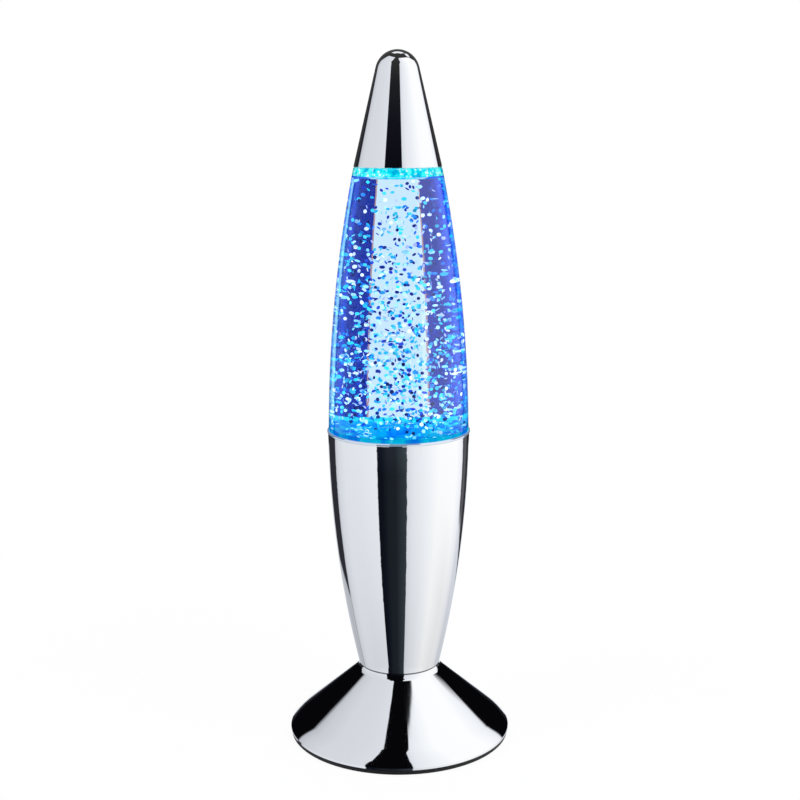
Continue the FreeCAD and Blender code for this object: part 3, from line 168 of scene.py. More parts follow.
class Recipe:
    """The node tree of a finish or of the world, emptied and ready for its nodes."""

    def __init__(self, owner):
        owner.use_nodes = True
        self.tree = owner.node_tree
        self.tree.nodes.clear()

    def node(self, kind, settings=None, **inputs):
        """Adds a node. Inputs are named with an underscore for each space, or by number as n0, n1."""
        node = self.tree.nodes.new("ShaderNode" + kind)
        for name, value in (settings or {}).items():
            setattr(node, name, value)
        for name, value in inputs.items():
            key = int(name[1:]) if name[0] == "n" and name[1:].isdigit() else name.replace("_", " ")
            feed(self.tree, node.inputs[key], value)
        return Wire(self.tree, next((o for o in node.outputs if o.enabled), None))

    def ramp(self, value, stops):
        """A colour, or a number, that changes with the value through stops of (place, colour)."""
        wire = self.node("ValToRGB", n0=value)
        ramp = wire.socket.node.color_ramp
        while len(ramp.elements) < len(stops):
            ramp.elements.new(1.0)
        for element, (place, colour) in zip(ramp.elements, stops):
            element.position = place
            element.color = colour + (1.0,) if isinstance(colour, tuple) else (colour, colour, colour, 1.0)
        return wire

    def curve(self, value, points):
        """A number that follows straight lines through (input, output) points."""
        first, last = points[0][0], points[-1][0]
        low = min(out for _, out in points)
        high = max(out for _, out in points)
        stops = [((at - first) / (last - first), (out - low) / (high - low)) for at, out in points]
        return self.ramp((value - first) / (last - first), stops) * (high - low) + low

    def spread(self, value, stops):
        """A colour through stops of (value, colour), where the values have any range."""
        first, last = stops[0][0], stops[-1][0]
        return self.ramp((value - first) / (last - first),
                         [((at - first) / (last - first), colour) for at, colour in stops])

    def mix(self, share, first, second, blend="MIX"):
        """The first colour at a share of 0, and at 1 the second, or the two blended."""
        node = self.tree.nodes.new("ShaderNodeMix")
        node.data_type = "RGBA"
        node.blend_type = blend
        node.clamp_factor = True
        for slot, value in zip((node.inputs[0], node.inputs[6], node.inputs[7]), (share, first, second)):
            feed(self.tree, slot, value)
        return Wire(self.tree, node.outputs[2])

    def place(self):
        """Where the shaded point lies on the lamp."""
        return self.node("TexCoord").output("Object")

    def axes(self, vector):
        """A vector's three numbers."""
        split = self.node("SeparateXYZ", n0=vector)
        return split, split.output("Y"), split.output("Z")

    def noise(self, scale, detail=2.0, roughness=0.5, at=None):
        """Noise with that many swells to the metre."""
        return self.node("TexNoise", Vector=at or self.place(), Scale=scale, Detail=detail,
                         Roughness=roughness)

    def cells(self, scale, feature="F1", randomness=1.0):
        """The distance to the nearest of scattered points, or edges, with that many to the metre."""
        return self.node("TexVoronoi", {"feature": feature}, Vector=self.place(), Scale=scale,
                         Randomness=randomness)

    def stretched(self, x, y, z):
        """The place with each axis scaled, for a pattern that is drawn out one way."""
        return self.node("Mapping", Vector=self.place(), Scale=(x, y, z))

    def bump(self, height, distance, strength):
        return self.node("Bump", Height=height, Distance=distance, Strength=strength)

    def surface(self, shader):
        self.node("OutputMaterial", Surface=shader)


def finish(name):
    """A new material and its recipe."""
    material = bpy.data.materials.new(name)
    return material, Recipe(material)


# What a user may change

def length(name, description, default, low=0.0):
    return bpy.props.FloatProperty(name=name, description=description, default=default, min=low,
                                   subtype="DISTANCE", unit="LENGTH", precision=4)


def share(name, description, default, high=1.0):
    return bpy.props.FloatProperty(name=name, description=description, default=default, min=0.0, max=high)


def tone(name, description, default):
    return bpy.props.FloatVectorProperty(name=name, description=description, default=default, size=3,
                                         min=0.0, max=4.0, subtype="COLOR")


def angle(name, description, default):
    return bpy.props.FloatProperty(name=name, description=description, default=math.radians(default),
                                   subtype="ANGLE", unit="ROTATION")


class ShellSettings(bpy.types.PropertyGroup):
    """The plated shells and the plastic, metal and rubber parts."""

    chrome: tone("Chrome", "What the plating reflects", (0.90, 0.905, 0.915))
    chrome_haze: share("Haze", "Roughness of the plating", 0.028)
    black: tone("Black plastic", "Plate, door and switch", (0.012, 0.012, 0.013))
    white: tone("White plastic", "Tray, end cap and magnet carrier", (0.78, 0.78, 0.76))


class BottleSettings(bpy.types.PropertyGroup):
    """The bottle and the liquid in it."""

    wall_bend: bpy.props.FloatProperty(name="Wall bend", description="How much the wall bends light",
                                       default=1.45, min=1.0, max=2.0)
    liquid_bend: bpy.props.FloatProperty(name="Liquid bend", description="How much the liquid bends light",
                                         default=1.33, min=1.0, max=2.0)
    liquid: tone("Liquid", "What the liquid lets through", (0.68, 0.94, 1.0))
    # The haze, the veils and the glows are painted light on the liquid and the base.
    haze: tone("Haze", "Light that the liquid scatters over its whole depth", (0.002, 0.016, 0.22))
    veil_left: tone("Veil, left", "Light on the liquid's left side", (0.007, 0.012, 0.06))
    veil_right: tone("Veil, right", "Light on the liquid's right side", (0.090, 0.095, 0.15))
    glow: tone("Glow", "Bright light at the floor", (0.00, 0.55, 0.86))
    deep: tone("Deep glow", "Deeper light at the floor", (0.00, 0.16, 0.84))


class GlitterSettings(bpy.types.PropertyGroup):
    """The flakes in the liquid."""

    floating: bpy.props.IntProperty(name="Floating", description="Flakes that drift in the liquid",
                                    default=2250, min=1, max=4000)
    lying: bpy.props.IntProperty(name="Lying", description="Flakes on the bottle's floor",
                                 default=130, min=1, max=1000)
    across: length("Across", "Size of a flake from corner to corner", 0.00195)
    thick: length("Thick", "Thickness of a flake", 0.00005)
    seed: bpy.props.IntProperty(name="Seed", description="Another number scatters them another way",
                                default=7, min=0)


class StageSettings(bpy.types.PropertyGroup):
    """The floor, the lamps and the camera."""

    distance: length("Distance", "From the lamp's axis to the lens", 0.7014)
    height: length("Height", "Of the lens over the floor", 0.3142)
    pitch: angle("Pitch", "How far the camera looks down", 11.44)
    roll: angle("Roll", "How far the camera leans", 0.17)
    yaw: angle("Yaw", "How far the camera turns aside", -0.093)
    lens: bpy.props.FloatProperty(name="Lens", description="Focal length in millimetres on a 36 mm sensor",
                                  default=65.54, min=10.0)
    key: share("Lamps", "Strength of the soft lamps", 1.0, 4.0)
    floor_white: share("Floor white", "Share of the floor by the foot that stays white in any light", 0.95)


# Finishes

def plated_chrome(name, settings):
    """Bright plating on plastic mouldings: slow swells and a breath of haze. The seam over the foot has
    painted shade, the lip a painted glow of the bottle's light over darker plating, and the cap a painted
    glow at its top and its edges."""
    material, make = finish(name)
    _, _, z = make.axes(make.place())
    swell = make.noise(26.0, detail=1.0)
    haze = make.noise(340.0, detail=3.0)
    speck = make.cells(900.0).above(0.06, 0.03)
    # Painted glow on the cap: it grows towards the top and at grazing edges, white there and high up, bluish
    # elsewhere.
    edge = make.node("LayerWeight", Blend=0.5).output("Facing").above(0.62, 0.2)
    climb = make.curve(z, [(0.286, 0.003), (0.305, 0.006), (0.325, 0.013), (0.340, 0.036)])
    cap_glow_share = z.above(CAP_LOW, 0.001) * (edge * 0.03 + climb)
    grey = make.mix(edge.either(z.above(0.312, 0.04)), (0.5, 0.6, 1.3), (1.0, 1.0, 1.0))
    dust_and_painted_glow = make.mix(cap_glow_share, (0.0, 0.0, 0.0), grey)
    # Painted glow on the lip for the bottle's light, over darker plating there.
    lip_glow_and_shade = z.between(LIP_LOW, LIP_HIGH, 0.0003)
    # Painted shade: the plating is darker at the seam over the foot.
    painted_seam_shade = z.between(SEAM_LOW, SEAM_HIGH, 0.0002)
    light = make.mix(lip_glow_and_shade, dust_and_painted_glow, (0.19, 0.27, 0.38))
    plating = make.mix(lip_glow_and_shade * 0.45 + painted_seam_shade * 0.85, tuple(settings.chrome), (0.05, 0.05, 0.06))
    make.surface(make.node(
        "BsdfPrincipled", Base_Color=plating, Metallic=1.0,
        Roughness=(haze * 0.014 + settings.chrome_haze) + (1.0 - speck) * 0.02,
        Emission_Color=light, Emission_Strength=1.0, Normal=make.bump(swell, 0.0004, 0.05)))
    return material


# The painted glow at the wall's edges on each side, for the light that comes out of them: how far the wall
# faces away, and its colour.
PAINTED_EDGE_GLOW_LEFT = ((0.38, (0.0, 0.0, 0.0)), (0.45, (0.0, 0.02, 0.30)), (0.50, (0.0, 0.01, 0.26)),
             (0.53, (0.0, 0.0, 0.08)), (0.61, (0.0, 0.02, 0.12)), (0.648, (0.24, 0.56, 0.58)),
             (0.71, (0.27, 0.52, 0.66)), (0.76, (0.10, 0.24, 0.30)), (0.80, (0.02, 0.06, 0.08)),
             (0.86, (0.08, 0.10, 0.06)), (1.0, (0.08, 0.10, 0.06)))
PAINTED_EDGE_GLOW_RIGHT = ((0.26, (0.0, 0.0, 0.0)), (0.40, (0.02, 0.03, 0.28)), (0.50, (0.03, 0.07, 0.42)),
              (0.56, (0.0, 0.02, 0.28)), (0.59, (0.0, 0.0, 0.14)), (0.645, (0.0, 0.02, 0.18)),
              (0.675, (0.01, 0.13, 0.40)), (0.735, (0.03, 0.12, 0.40)), (0.80, (0.02, 0.06, 0.25)),
              (0.86, (0.06, 0.08, 0.18)), (1.0, (0.05, 0.06, 0.16)))
EDGES_LOW, EDGES_HIGH = 165.5 * MM, 280.5 * MM


def clear_wall(name, settings):
    """Polished clear plastic. A painted glow at its edges stands for light that climbs in it, paler on the
    left.
    """
    material, make = finish(name)
    x, _, z = make.axes(make.place())
    ripple = make.noise(30.0, detail=1.0, at=make.stretched(1.0, 1.0, 0.3))
    facing = make.node("LayerWeight", Blend=0.5).output("Facing")
    # Painted glow by how far the wall faces away, different on each side, with a green touch at the top
    # right corner.
    right = x.above(0.0, 0.002)
    painted_edge_glow = make.mix(right, make.spread(facing, PAINTED_EDGE_GLOW_LEFT), make.spread(facing, PAINTED_EDGE_GLOW_RIGHT))
    painted_corner_glow = right * facing.above(0.72, 0.06) * z.above(0.273, 0.012)
    painted_edge_glow = make.mix(painted_corner_glow, painted_edge_glow, (0.0, 0.22, 0.02), "ADD")
    lit = z.above(EDGES_LOW, 0.005) * (1.0 - z.above(EDGES_HIGH, 0.001))
    painted_edge_glow = make.mix(lit, (0.0, 0.0, 0.0), painted_edge_glow)
    make.surface(make.node(
        "BsdfPrincipled", Roughness=0.0, IOR=settings.wall_bend,
        Base_Color=make.mix(facing.above(0.81, 0.08), (0.985, 0.995, 1.0), (0.80, 0.87, 0.84)),
        Transmission_Weight=1.0, Specular_Tint=(0.1, 0.1, 0.1), Emission_Color=painted_edge_glow,
        Emission_Strength=1.0, Normal=make.bump(ripple, 0.0004, 0.05)))
    return material


def lit_liquid(name, settings):
    """Clear liquid with a painted blue glow through its depth for the lights' blue scattered in it, and a
    painted veil of light on its front half, paler on the right.
    """
    material, make = finish(name)
    x, y, z = make.axes(make.place())
    # Painted light: the veil lies only on the front half. It is paler right of a line that shifts with
    # height and a little darker further right. It is deep blue at the edges and low down, and its strength
    # follows height and a cloud.
    front = 1.0 - y.above(0.0, 0.002)
    cloud = make.noise(34.0, detail=2.0)
    start = make.curve(z, [(0.172, 0.0112), (0.21, 0.0109), (0.245, 0.0099), (0.275, 0.0085)])
    right = (x - start).above(0.0, 0.001)
    painted_veil = make.mix(right, tuple(settings.veil_left), tuple(settings.veil_right))
    painted_veil = make.mix(1.0, painted_veil, 1.0 - (x - start).above(0.008, 0.012) * right * 0.3, "MULTIPLY")
    edge = make.node("LayerWeight", Blend=0.5).output("Facing").above(0.24, 0.1)
    painted_veil = make.mix(edge.either(1.0 - z.above(0.1695, 0.002)), painted_veil, (0.0, 0.02, 0.10))
    level = make.curve(z, [(0.158, 0.6), (0.168, 1.1), (0.19, 1.0), (0.28, 0.9)]) * (cloud * 0.3 + 0.85)
    clear = make.node(
        "BsdfPrincipled", Base_Color=tuple(settings.liquid), Roughness=0.0, IOR=settings.liquid_bend,
        Transmission_Weight=1.0, Specular_Tint=(0.0, 0.0, 0.0),
        Emission_Color=make.mix(1.0, painted_veil, level * front, "MULTIPLY"), Emission_Strength=1.0)
    # Painted glow through the liquid's depth, standing for the lamps' blue scattered in it.
    haze = make.node("Emission", Color=tuple(settings.haze), Strength=1.0 / LIQUID_DEPTH)
    make.node("OutputMaterial", Surface=clear, Volume=haze)
    return material


def glitter_film(name):
    """Metallised film: each flake has its own tint and a painted glow for its own share of the lights."""
    material, make = finish(name)
    film = make.node("Attribute", {"attribute_name": "film"})
    glow = make.node("Attribute", {"attribute_name": "glow"})
    make.surface(make.node(
        "BsdfPrincipled", Base_Color=film, Metallic=1.0, Roughness=make.noise(900.0) * 0.1 + 0.12,
        Emission_Color=glow, Emission_Strength=1.0))
    return material


def lit_ceiling(name, settings):
    """The thick top of the bottle, with a painted glow between flakes for the light that climbs the wall."""
    material, make = finish(name)
    x, _, z = make.axes(make.place())
    specks = make.cells(620.0)
    cloud = make.noise(340.0, detail=2.0)
    colour = make.spread(cloud, [(0.34, (0.0, 0.40, 0.70)), (0.43, (0.0, 0.66, 0.82)),
                                 (0.51, (0.01, 0.90, 0.95)), (0.62, (0.12, 1.0, 1.0))])
    colour = make.mix((1.0 - specks.above(0.34, 0.16)) * cloud.above(0.46, 0.08), colour, (0.80, 1.0, 1.0))
    # Painted light on the underside: pale blue within 9.8 mm of the axis, deep blue beyond.
    painted_underside = make.mix(x.put_through("ABSOLUTE").above(0.0098, 0.0006), (0.42, 0.78, 1.0), (0.03, 0.10, 0.70))
    make.surface(make.node(
        "BsdfPrincipled", Base_Color=(0.0, 0.08, 0.12), Roughness=0.5, Specular_IOR_Level=0.0,
        Emission_Color=make.mix(z.above(GLOW_LOW + 0.1 * MM, 0.0001), painted_underside, colour), Emission_Strength=1.0))
    return material


def lit_base(name, settings):
    """A painted glow on the clear base over the lights: deep blue, cyan in the middle and round the back of
    its rim, with painted sparks.
    """
    material, make = finish(name)
    x, y, _ = make.axes(make.place())
    flat = make.stretched(1.0, 1.0, 0.0)
    away = make.node("VectorMath", {"operation": "LENGTH"}, n0=flat).output("Value")
    cloud = make.noise(95.0, detail=3.0, at=flat)
    grain = make.cells(520.0)
    # Painted light: cyan towards the middle across x, and cyan round the back of the rim.
    middle = 1.0 - x.put_through("ABSOLUTE").above(0.019, 0.016)
    colour = make.mix((cloud + middle * 0.12).above(0.56, 0.16), tuple(settings.deep), tuple(settings.glow))
    colour = make.mix(away.above(BASE_RIM_R, 0.0012) * y.above(0.0, 0.02), colour, (0.02, 1.0, 1.0))
    painted_sparks = (1.0 - grain.above(0.22, 0.1)) * cloud.above(0.54, 0.1)
    colour = make.mix(painted_sparks * 0.6, colour, (0.15, 0.85, 1.0))
    make.surface(make.node(
        "BsdfPrincipled", Base_Color=(0.0, 0.05, 0.12), Roughness=0.35, Specular_IOR_Level=0.0,
        Emission_Color=colour, Emission_Strength=0.71))
    return material


def grained_plastic(name, colour, roughness=0.42, grain=1500.0, shine=0.5):
    """A moulding from a spark-eroded tool: fine even grain, with rubbed places a little smoother."""
    material, make = finish(name)
    pits = make.noise(grain, detail=2.0, roughness=0.6)
    rubbed = make.noise(60.0, detail=3.0)
    tint = make.mix(rubbed, colour, tuple(v * 1.18 + 0.002 for v in colour))
    make.surface(make.node(
        "BsdfPrincipled", Base_Color=tint, Roughness=rubbed * 0.12 + roughness,
        Specular_IOR_Level=shine, Normal=make.bump(pits, 0.00006, 0.5)))
    return material


def glossy_moulding(name, colour, through=0.0):
    """A smooth plastic moulding with faint flow marks, as lenses, plugs and insulation have."""
    material, make = finish(name)
    flow = make.noise(220.0, detail=2.0, at=make.stretched(1.0, 1.0, 0.25))
    tint = make.mix(flow, tuple(v * 0.9 for v in colour), colour)
    make.surface(make.node(
        "BsdfPrincipled", Base_Color=tint, Roughness=flow * 0.12 + 0.16, IOR=1.49,
        Transmission_Weight=through, Normal=make.bump(flow, 0.00005, 0.3)))
    return material


def lit_plastic(name, colour):
    """Pale plastic. Where it stands in the liquid, painted light makes it deep blue, with a painted glow as
    if lit from under it.
    """
    material, make = finish(name)
    _, _, z = make.axes(make.place())
    flow = make.noise(180.0, detail=2.0)
    light = make.mix(flow.above(0.5, 0.3), (0.0, 0.13, 0.80), (0.0, 0.45, 0.85))
    painted_light_in_liquid = z.between(WET_LOW, WET_HIGH, 0.001)
    plain = make.mix(flow, tuple(v * 0.9 for v in colour), colour)
    make.surface(make.node(
        "BsdfPrincipled", Base_Color=make.mix(painted_light_in_liquid, plain, (0.01, 0.10, 0.20)),
        Roughness=flow * 0.12 + 0.25, Specular_IOR_Level=0.1,
        Emission_Color=make.mix(painted_light_in_liquid, (0.0, 0.0, 0.0), light), Emission_Strength=0.8))
    return material


def lit_lens(name):
    """A clear epoxy lens with its light on."""
    material, make = finish(name)
    _, _, z = make.axes(make.place())
    top = z.above(LENS_GLOW_LOW, 0.004)
    colour = make.mix(top, (0.02, 0.25, 0.9), (0.5, 0.95, 1.0))
    swirl = make.noise(500.0, detail=1.0)
    make.surface(make.node(
        "BsdfPrincipled", Base_Color=(0.7, 0.92, 1.0), Roughness=swirl * 0.06 + 0.05,
        Emission_Color=colour, Emission_Strength=0.9))
    return material


def soft_rubber(name, colour):
    """Matt rubber with fine pits and some pale dust."""
    material, make = finish(name)
    pits = make.noise(1100.0, detail=3.0, roughness=0.7)
    dust_and_painted_glow = make.noise(300.0, detail=2.0).above(0.6, 0.2)
    make.surface(make.node(
        "BsdfPrincipled", Base_Color=make.mix(dust_and_painted_glow * 0.4, colour, (0.09, 0.088, 0.085)),
        Roughness=pits * 0.15 + 0.72, Normal=make.bump(pits, 0.0001, 0.4)))
    return material


def plated_steel(name, colour, drawn=1.0):
    """Plated steel with the marks of its drawing or turning, and duller spots. A drawn wire's are finer."""
    material, make = finish(name)
    lines = make.noise(900.0, detail=2.0, at=make.stretched(1.0, 1.0, 0.06 * drawn))
    spots = make.noise(420.0, detail=3.0).above(0.58, 0.15)
    tint = make.mix(spots * 0.35, colour, tuple(v * 0.72 for v in colour))
    make.surface(make.node(
        "BsdfPrincipled", Base_Color=tint, Metallic=1.0, Roughness=lines * 0.2 + spots * 0.1 + 0.2,
        Normal=make.bump(lines, 0.00003, 0.4)))
    return material


def wound_iron(name):
    """Stacked iron plates with copper-coloured enamelled wire wound round them."""
    wires = 14000.0
    material, make = finish(name)
    _, _, z = make.axes(make.place())
    turns = (z * wires).put_through("SINE")
    middle = z.between(WINDING_LOW, WINDING_HIGH, 0.0006)
    tint = make.mix(middle, (0.16, 0.155, 0.15), (0.55, 0.24, 0.10))
    make.surface(make.node(
        "BsdfPrincipled", Base_Color=tint, Metallic=0.85, Roughness=turns * 0.08 + 0.36,
        Normal=make.bump(turns, 0.00008, 0.7)))
    return material


def sintered_magnet(name, colour):
    """Grey-black sintered grit that glints here and there."""
    material, make = finish(name)
    grit = make.noise(1400.0, detail=3.0, roughness=0.7)
    shine = make.cells(1200.0).above(0.2, 0.2)
    make.surface(make.node(
        "BsdfPrincipled", Base_Color=make.mix(shine, (0.16, 0.16, 0.17), colour), Metallic=0.5,
        Roughness=grit * 0.2 + 0.42, Normal=make.bump(grit, 0.00008, 0.5)))
    return material


def cell_jacket(name, colour):
    """A plain shrunk sleeve: dark over most of the cell and copper-coloured near one end."""
    material, make = finish(name)
    x, _, _ = make.axes(make.place())
    sleeve = x.above(SLEEVE_END, 0.0004)
    wrinkle = make.noise(160.0, detail=2.0, at=make.stretched(0.3, 1.0, 1.0))
    tint = make.mix(sleeve, colour, (0.50, 0.27, 0.10))
    make.surface(make.node(
        "BsdfPrincipled", Base_Color=tint, Metallic=0.75, Roughness=wrinkle * 0.12 + 0.22,
        Normal=make.bump(wrinkle, 0.0002, 0.2)))
    return material


def solder_mask(name, colour):
    """Green lacquer over glass cloth, with the copper tracks standing up under it."""
    threads = 4200.0
    material, make = finish(name)
    x, y, _ = make.axes(make.place())
    weave = (x * threads).put_through("SINE") * (y * threads).put_through("SINE")
    tracks = make.cells(150.0, "DISTANCE_TO_EDGE", randomness=0.6).above(0.09, 0.02)
    tint = make.mix(tracks, tuple(v * 1.9 for v in colour), colour)
    make.surface(make.node(
        "BsdfPrincipled", Base_Color=make.mix(weave * 0.1 + 0.1, tint, tuple(v * 0.6 for v in colour)),
        Roughness=weave * 0.04 + 0.28, Normal=make.bump(1.0 - tracks, 0.00005, 0.6)))
    return material


def finishes():
    """Each material slot's finish, by the slot's name."""
    lamp = bpy.context.scene.lamp_shell
    bottle = bpy.context.scene.lamp_bottle
    slots = {m["slot"]: tuple(m["base_color"][:3]) for m in frame["record"]["materials"]}
    return {
        "chrome_shell": lambda n: plated_chrome(n, lamp),
        "clear_bottle": lambda n: clear_wall(n, bottle),
        "black_plastic": lambda n: grained_plastic(n, tuple(lamp.black), shine=0.2),
        "white_plastic": lambda n: grained_plastic(n, tuple(lamp.white), 0.38, 1100.0),
        "pale_plastic": lambda n: lit_plastic(n, slots[n]),
        "clear_cover": lambda n: glossy_moulding(n, (0.86, 0.95, 1.0), 0.85),
        "led_lens": lit_lens,
        "board_green": lambda n: solder_mask(n, slots[n]),
        "board_black": lambda n: grained_plastic(n, slots[n], 0.5, 2200.0),
        "zinc_steel": lambda n: plated_steel(n, slots[n]),
        "spring_steel": lambda n: plated_steel(n, slots[n], 8.0),
        "armature_iron": wound_iron,
        "magnet_black": lambda n: sintered_magnet(n, slots[n]),
        "rubber_black": lambda n: soft_rubber(n, slots[n]),
        "cell_jacket": lambda n: cell_jacket(n, slots[n]),
        "red_insulation": lambda n: glossy_moulding(n, slots[n]),
        "black_insulation": lambda n: glossy_moulding(n, slots[n]),
    }


# Pieces

def turned(name, outline, steps):
    """A solid turned round the lamp's axis from (radius, height) points, which end on the axis or close."""
    bpy.ops.object.select_all(action="DESELECT")
    bpy.ops.mesh.primitive_plane_add(size=0.01)
    piece = bpy.context.object
    piece.name = piece.data.name = name
    bpy.ops.object.mode_set(mode="EDIT")
    bpy.ops.mesh.merge(type="CENTER")
    here = Vector((0.0, 0.0, 0.0))
    first = True
    for radius, height in outline:
        there = Vector((radius, 0.0, height))
        if first:
            bpy.ops.transform.translate(value=there - here)
            first = False
        else:
            bpy.ops.mesh.extrude_vertices_move(TRANSFORM_OT_translate={"value": there - here})
        here = there
    bpy.ops.mesh.select_all(action="SELECT")
    bpy.ops.mesh.spin(steps=steps, angle=math.tau, center=(0.0, 0.0, 0.0), axis=(0.0, 0.0, 1.0))
    bpy.ops.mesh.select_all(action="SELECT")
    bpy.ops.mesh.remove_doubles(threshold=0.00001)
    bpy.ops.mesh.normals_make_consistent(inside=False)
    bpy.ops.object.mode_set(mode="OBJECT")
    bpy.ops.object.shade_smooth_by_angle(angle=math.radians(35.0))
    return piece


def dress(piece, material):
    """Gives a piece that one material."""
    piece.data.materials.clear()
    piece.data.materials.append(material)


class BottleWall:
    """The bottle's wall in section: an arc from its foot up to its shoulder, swelling outwards."""

    def __init__(self, foot, shoulder, bulge):
        along = shoulder - foot
        half = along.length / 2
        self.reach = (half ** 2 + bulge ** 2) / (2 * bulge)
        out = Vector((along.y, -along.x)).normalized()
        self.centre = (foot + shoulder) / 2 - out * (self.reach - bulge)

    def at(self, height, inset):
        """The wall's radius at that height, inset by that much towards the inside."""
        return self.centre.x + math.sqrt((self.reach - inset) ** 2 - (height - self.centre.y) ** 2)

    def rise(self, low, high, inset, steps):
        """Evenly spaced (radius, height) points up the wall."""
        heights = [low + (high - low) * i / steps for i in range(steps + 1)]
        return [(self.at(height, inset), height) for height in heights]


BOTTLE_WALL = BottleWall(Vector((34.45, 158.0)) * MM, Vector((21.2, 285.3)) * MM, 3.05 * MM)


class LAMP_OT_finish_shell(bpy.types.Operator):
    """Gives every made part the finish of its material slot"""

    bl_idname = "lamp.finish_shell"
    bl_label = "Finish the made parts"

    def execute(self, context):
        makers = finishes()
        made = {}
        for name, part in NODES.items():
            slot = part.data.materials[0].name.split(".")[0]
            if slot in makers:
                if slot not in made:
                    made[slot] = makers[slot](slot)
                part.data.materials[0] = made[slot]
        return {"FINISHED"}


class LAMP_OT_fill_bottle(bpy.types.Operator):
    """Fills the bottle: the liquid reaches a hair into the wall, so that no air shows between them"""

    bl_idname = "lamp.fill_bottle"
    bl_label = "Fill the bottle"

    def execute(self, context):
        well_r, well_floor = WELL
        inset = WALL_THICK - OVERLAP
        low = BOTTLE_FLOOR - OVERLAP
        high = CEILING_LOW + OVERLAP
        wall = BOTTLE_WALL.rise(WELD, high, inset, 64)
        liquid = turned("liquid", [(0.0, well_floor - OVERLAP), (well_r + OVERLAP, well_floor - OVERLAP),
                                   (well_r + OVERLAP, low), (wall[0][0], low), *wall,
                                   (NECK_BORE + OVERLAP, high), (NECK_BORE + OVERLAP, PLUG_LOW + OVERLAP),
                                   (0.0, PLUG_LOW + OVERLAP)], TURN_STEPS)
        dress(liquid, lit_liquid("glitter_liquid", context.scene.lamp_bottle))
        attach(liquid, "bottle")
        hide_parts("glitter_fluid")
        return {"FINISHED"}


class LAMP_OT_light_bottle(bpy.types.Operator):
    """Paints light on the bottle's ends: the thick ceiling gets a core with a painted glow, and the base its
    painted glow
    """

    bl_idname = "lamp.light_bottle"
    bl_label = "Light the ends of the bottle"

    def execute(self, context):
        settings = context.scene.lamp_bottle
        high = CEILING_HIGH - GLOW_SKIN
        bore = NECK_BORE + GLOW_SKIN
        core = turned("ceiling_glow", [(bore, GLOW_LOW), *BOTTLE_WALL.rise(GLOW_LOW, high, GLOW_SKIN, 6),
                                       (bore, high), (bore, GLOW_LOW)], TURN_STEPS)
        dress(core, lit_ceiling("lit_ceiling", settings))
        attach(core, "bottle")
        NODES["bottle_base"].data.materials[0] = lit_base("lit_base", settings)
        return {"FINISHED"}


# Each tone of flake: how common it is, the film's own colour, and the painted glow for the light that it
# catches.
FLAKE_TONES = (
    (17, (0.02, 0.02, 0.05), (0.001, 0.002, 0.035)),
    (8, (0.05, 0.08, 0.32), (0.000, 0.015, 0.200)),
    (11, (0.05, 0.28, 0.70), (0.000, 0.150, 0.500)),
    (12, (0.08, 0.48, 0.52), (0.010, 0.360, 0.440)),
    (16, (0.10, 0.62, 0.75), (0.010, 0.470, 0.680)),
    (16, (0.55, 0.75, 0.90), (0.330, 0.640, 0.900)),
    (12, (0.70, 0.68, 0.92), (0.560, 0.580, 0.920)),
    (8, (0.95, 0.98, 1.00), (0.850, 0.930, 1.000)),
)
# Those that lie on the lit floor show only its tones.
LYING_TONES = FLAKE_TONES[2:6]


def flake(settings):
    """One six-sided flake of film, flat and centred."""
    bpy.ops.object.select_all(action="DESELECT")
    bpy.ops.mesh.primitive_circle_add(vertices=6, radius=settings.across / 2, fill_type="NGON",
                                      location=(0.0, 0.0, -settings.thick / 2))
    piece = bpy.context.object
    bpy.ops.object.transform_apply(location=True, rotation=True, scale=True)
    bpy.ops.object.mode_set(mode="EDIT")
    bpy.ops.mesh.extrude_region_move(TRANSFORM_OT_translate={"value": (0.0, 0.0, settings.thick)})
    bpy.ops.mesh.select_all(action="SELECT")
    bpy.ops.mesh.normals_make_consistent(inside=False)
    bpy.ops.object.mode_set(mode="OBJECT")
    for name in ("film", "glow"):
        bpy.ops.geometry.color_attribute_add(name=name, domain="POINT", data_type="FLOAT_COLOR")
    return piece


def floating_spot(chance, settings):
    """A spot in the liquid, clear of the stirrer. The flakes thin out towards the top."""
    margin = WALL_THICK + settings.across * 0.6
    low, high = WELD + 1.0 * MM, CEILING_LOW - 1.0 * MM
    while True:
        height = chance.uniform(low, high)
        reach = BOTTLE_WALL.at(height, margin)
        up = (height - low) / (high - low)
        if chance.random() > (reach / LIQUID_REACH) ** 2 * (1.0 - 0.62 * up ** 0.8):
            continue
        away = reach * math.sqrt(chance.random())
        if height > STIRRER_TOP or away > STIRRER_R:
            turn = chance.uniform(0.0, math.tau)
            return Vector((away * math.cos(turn), away * math.sin(turn), height))


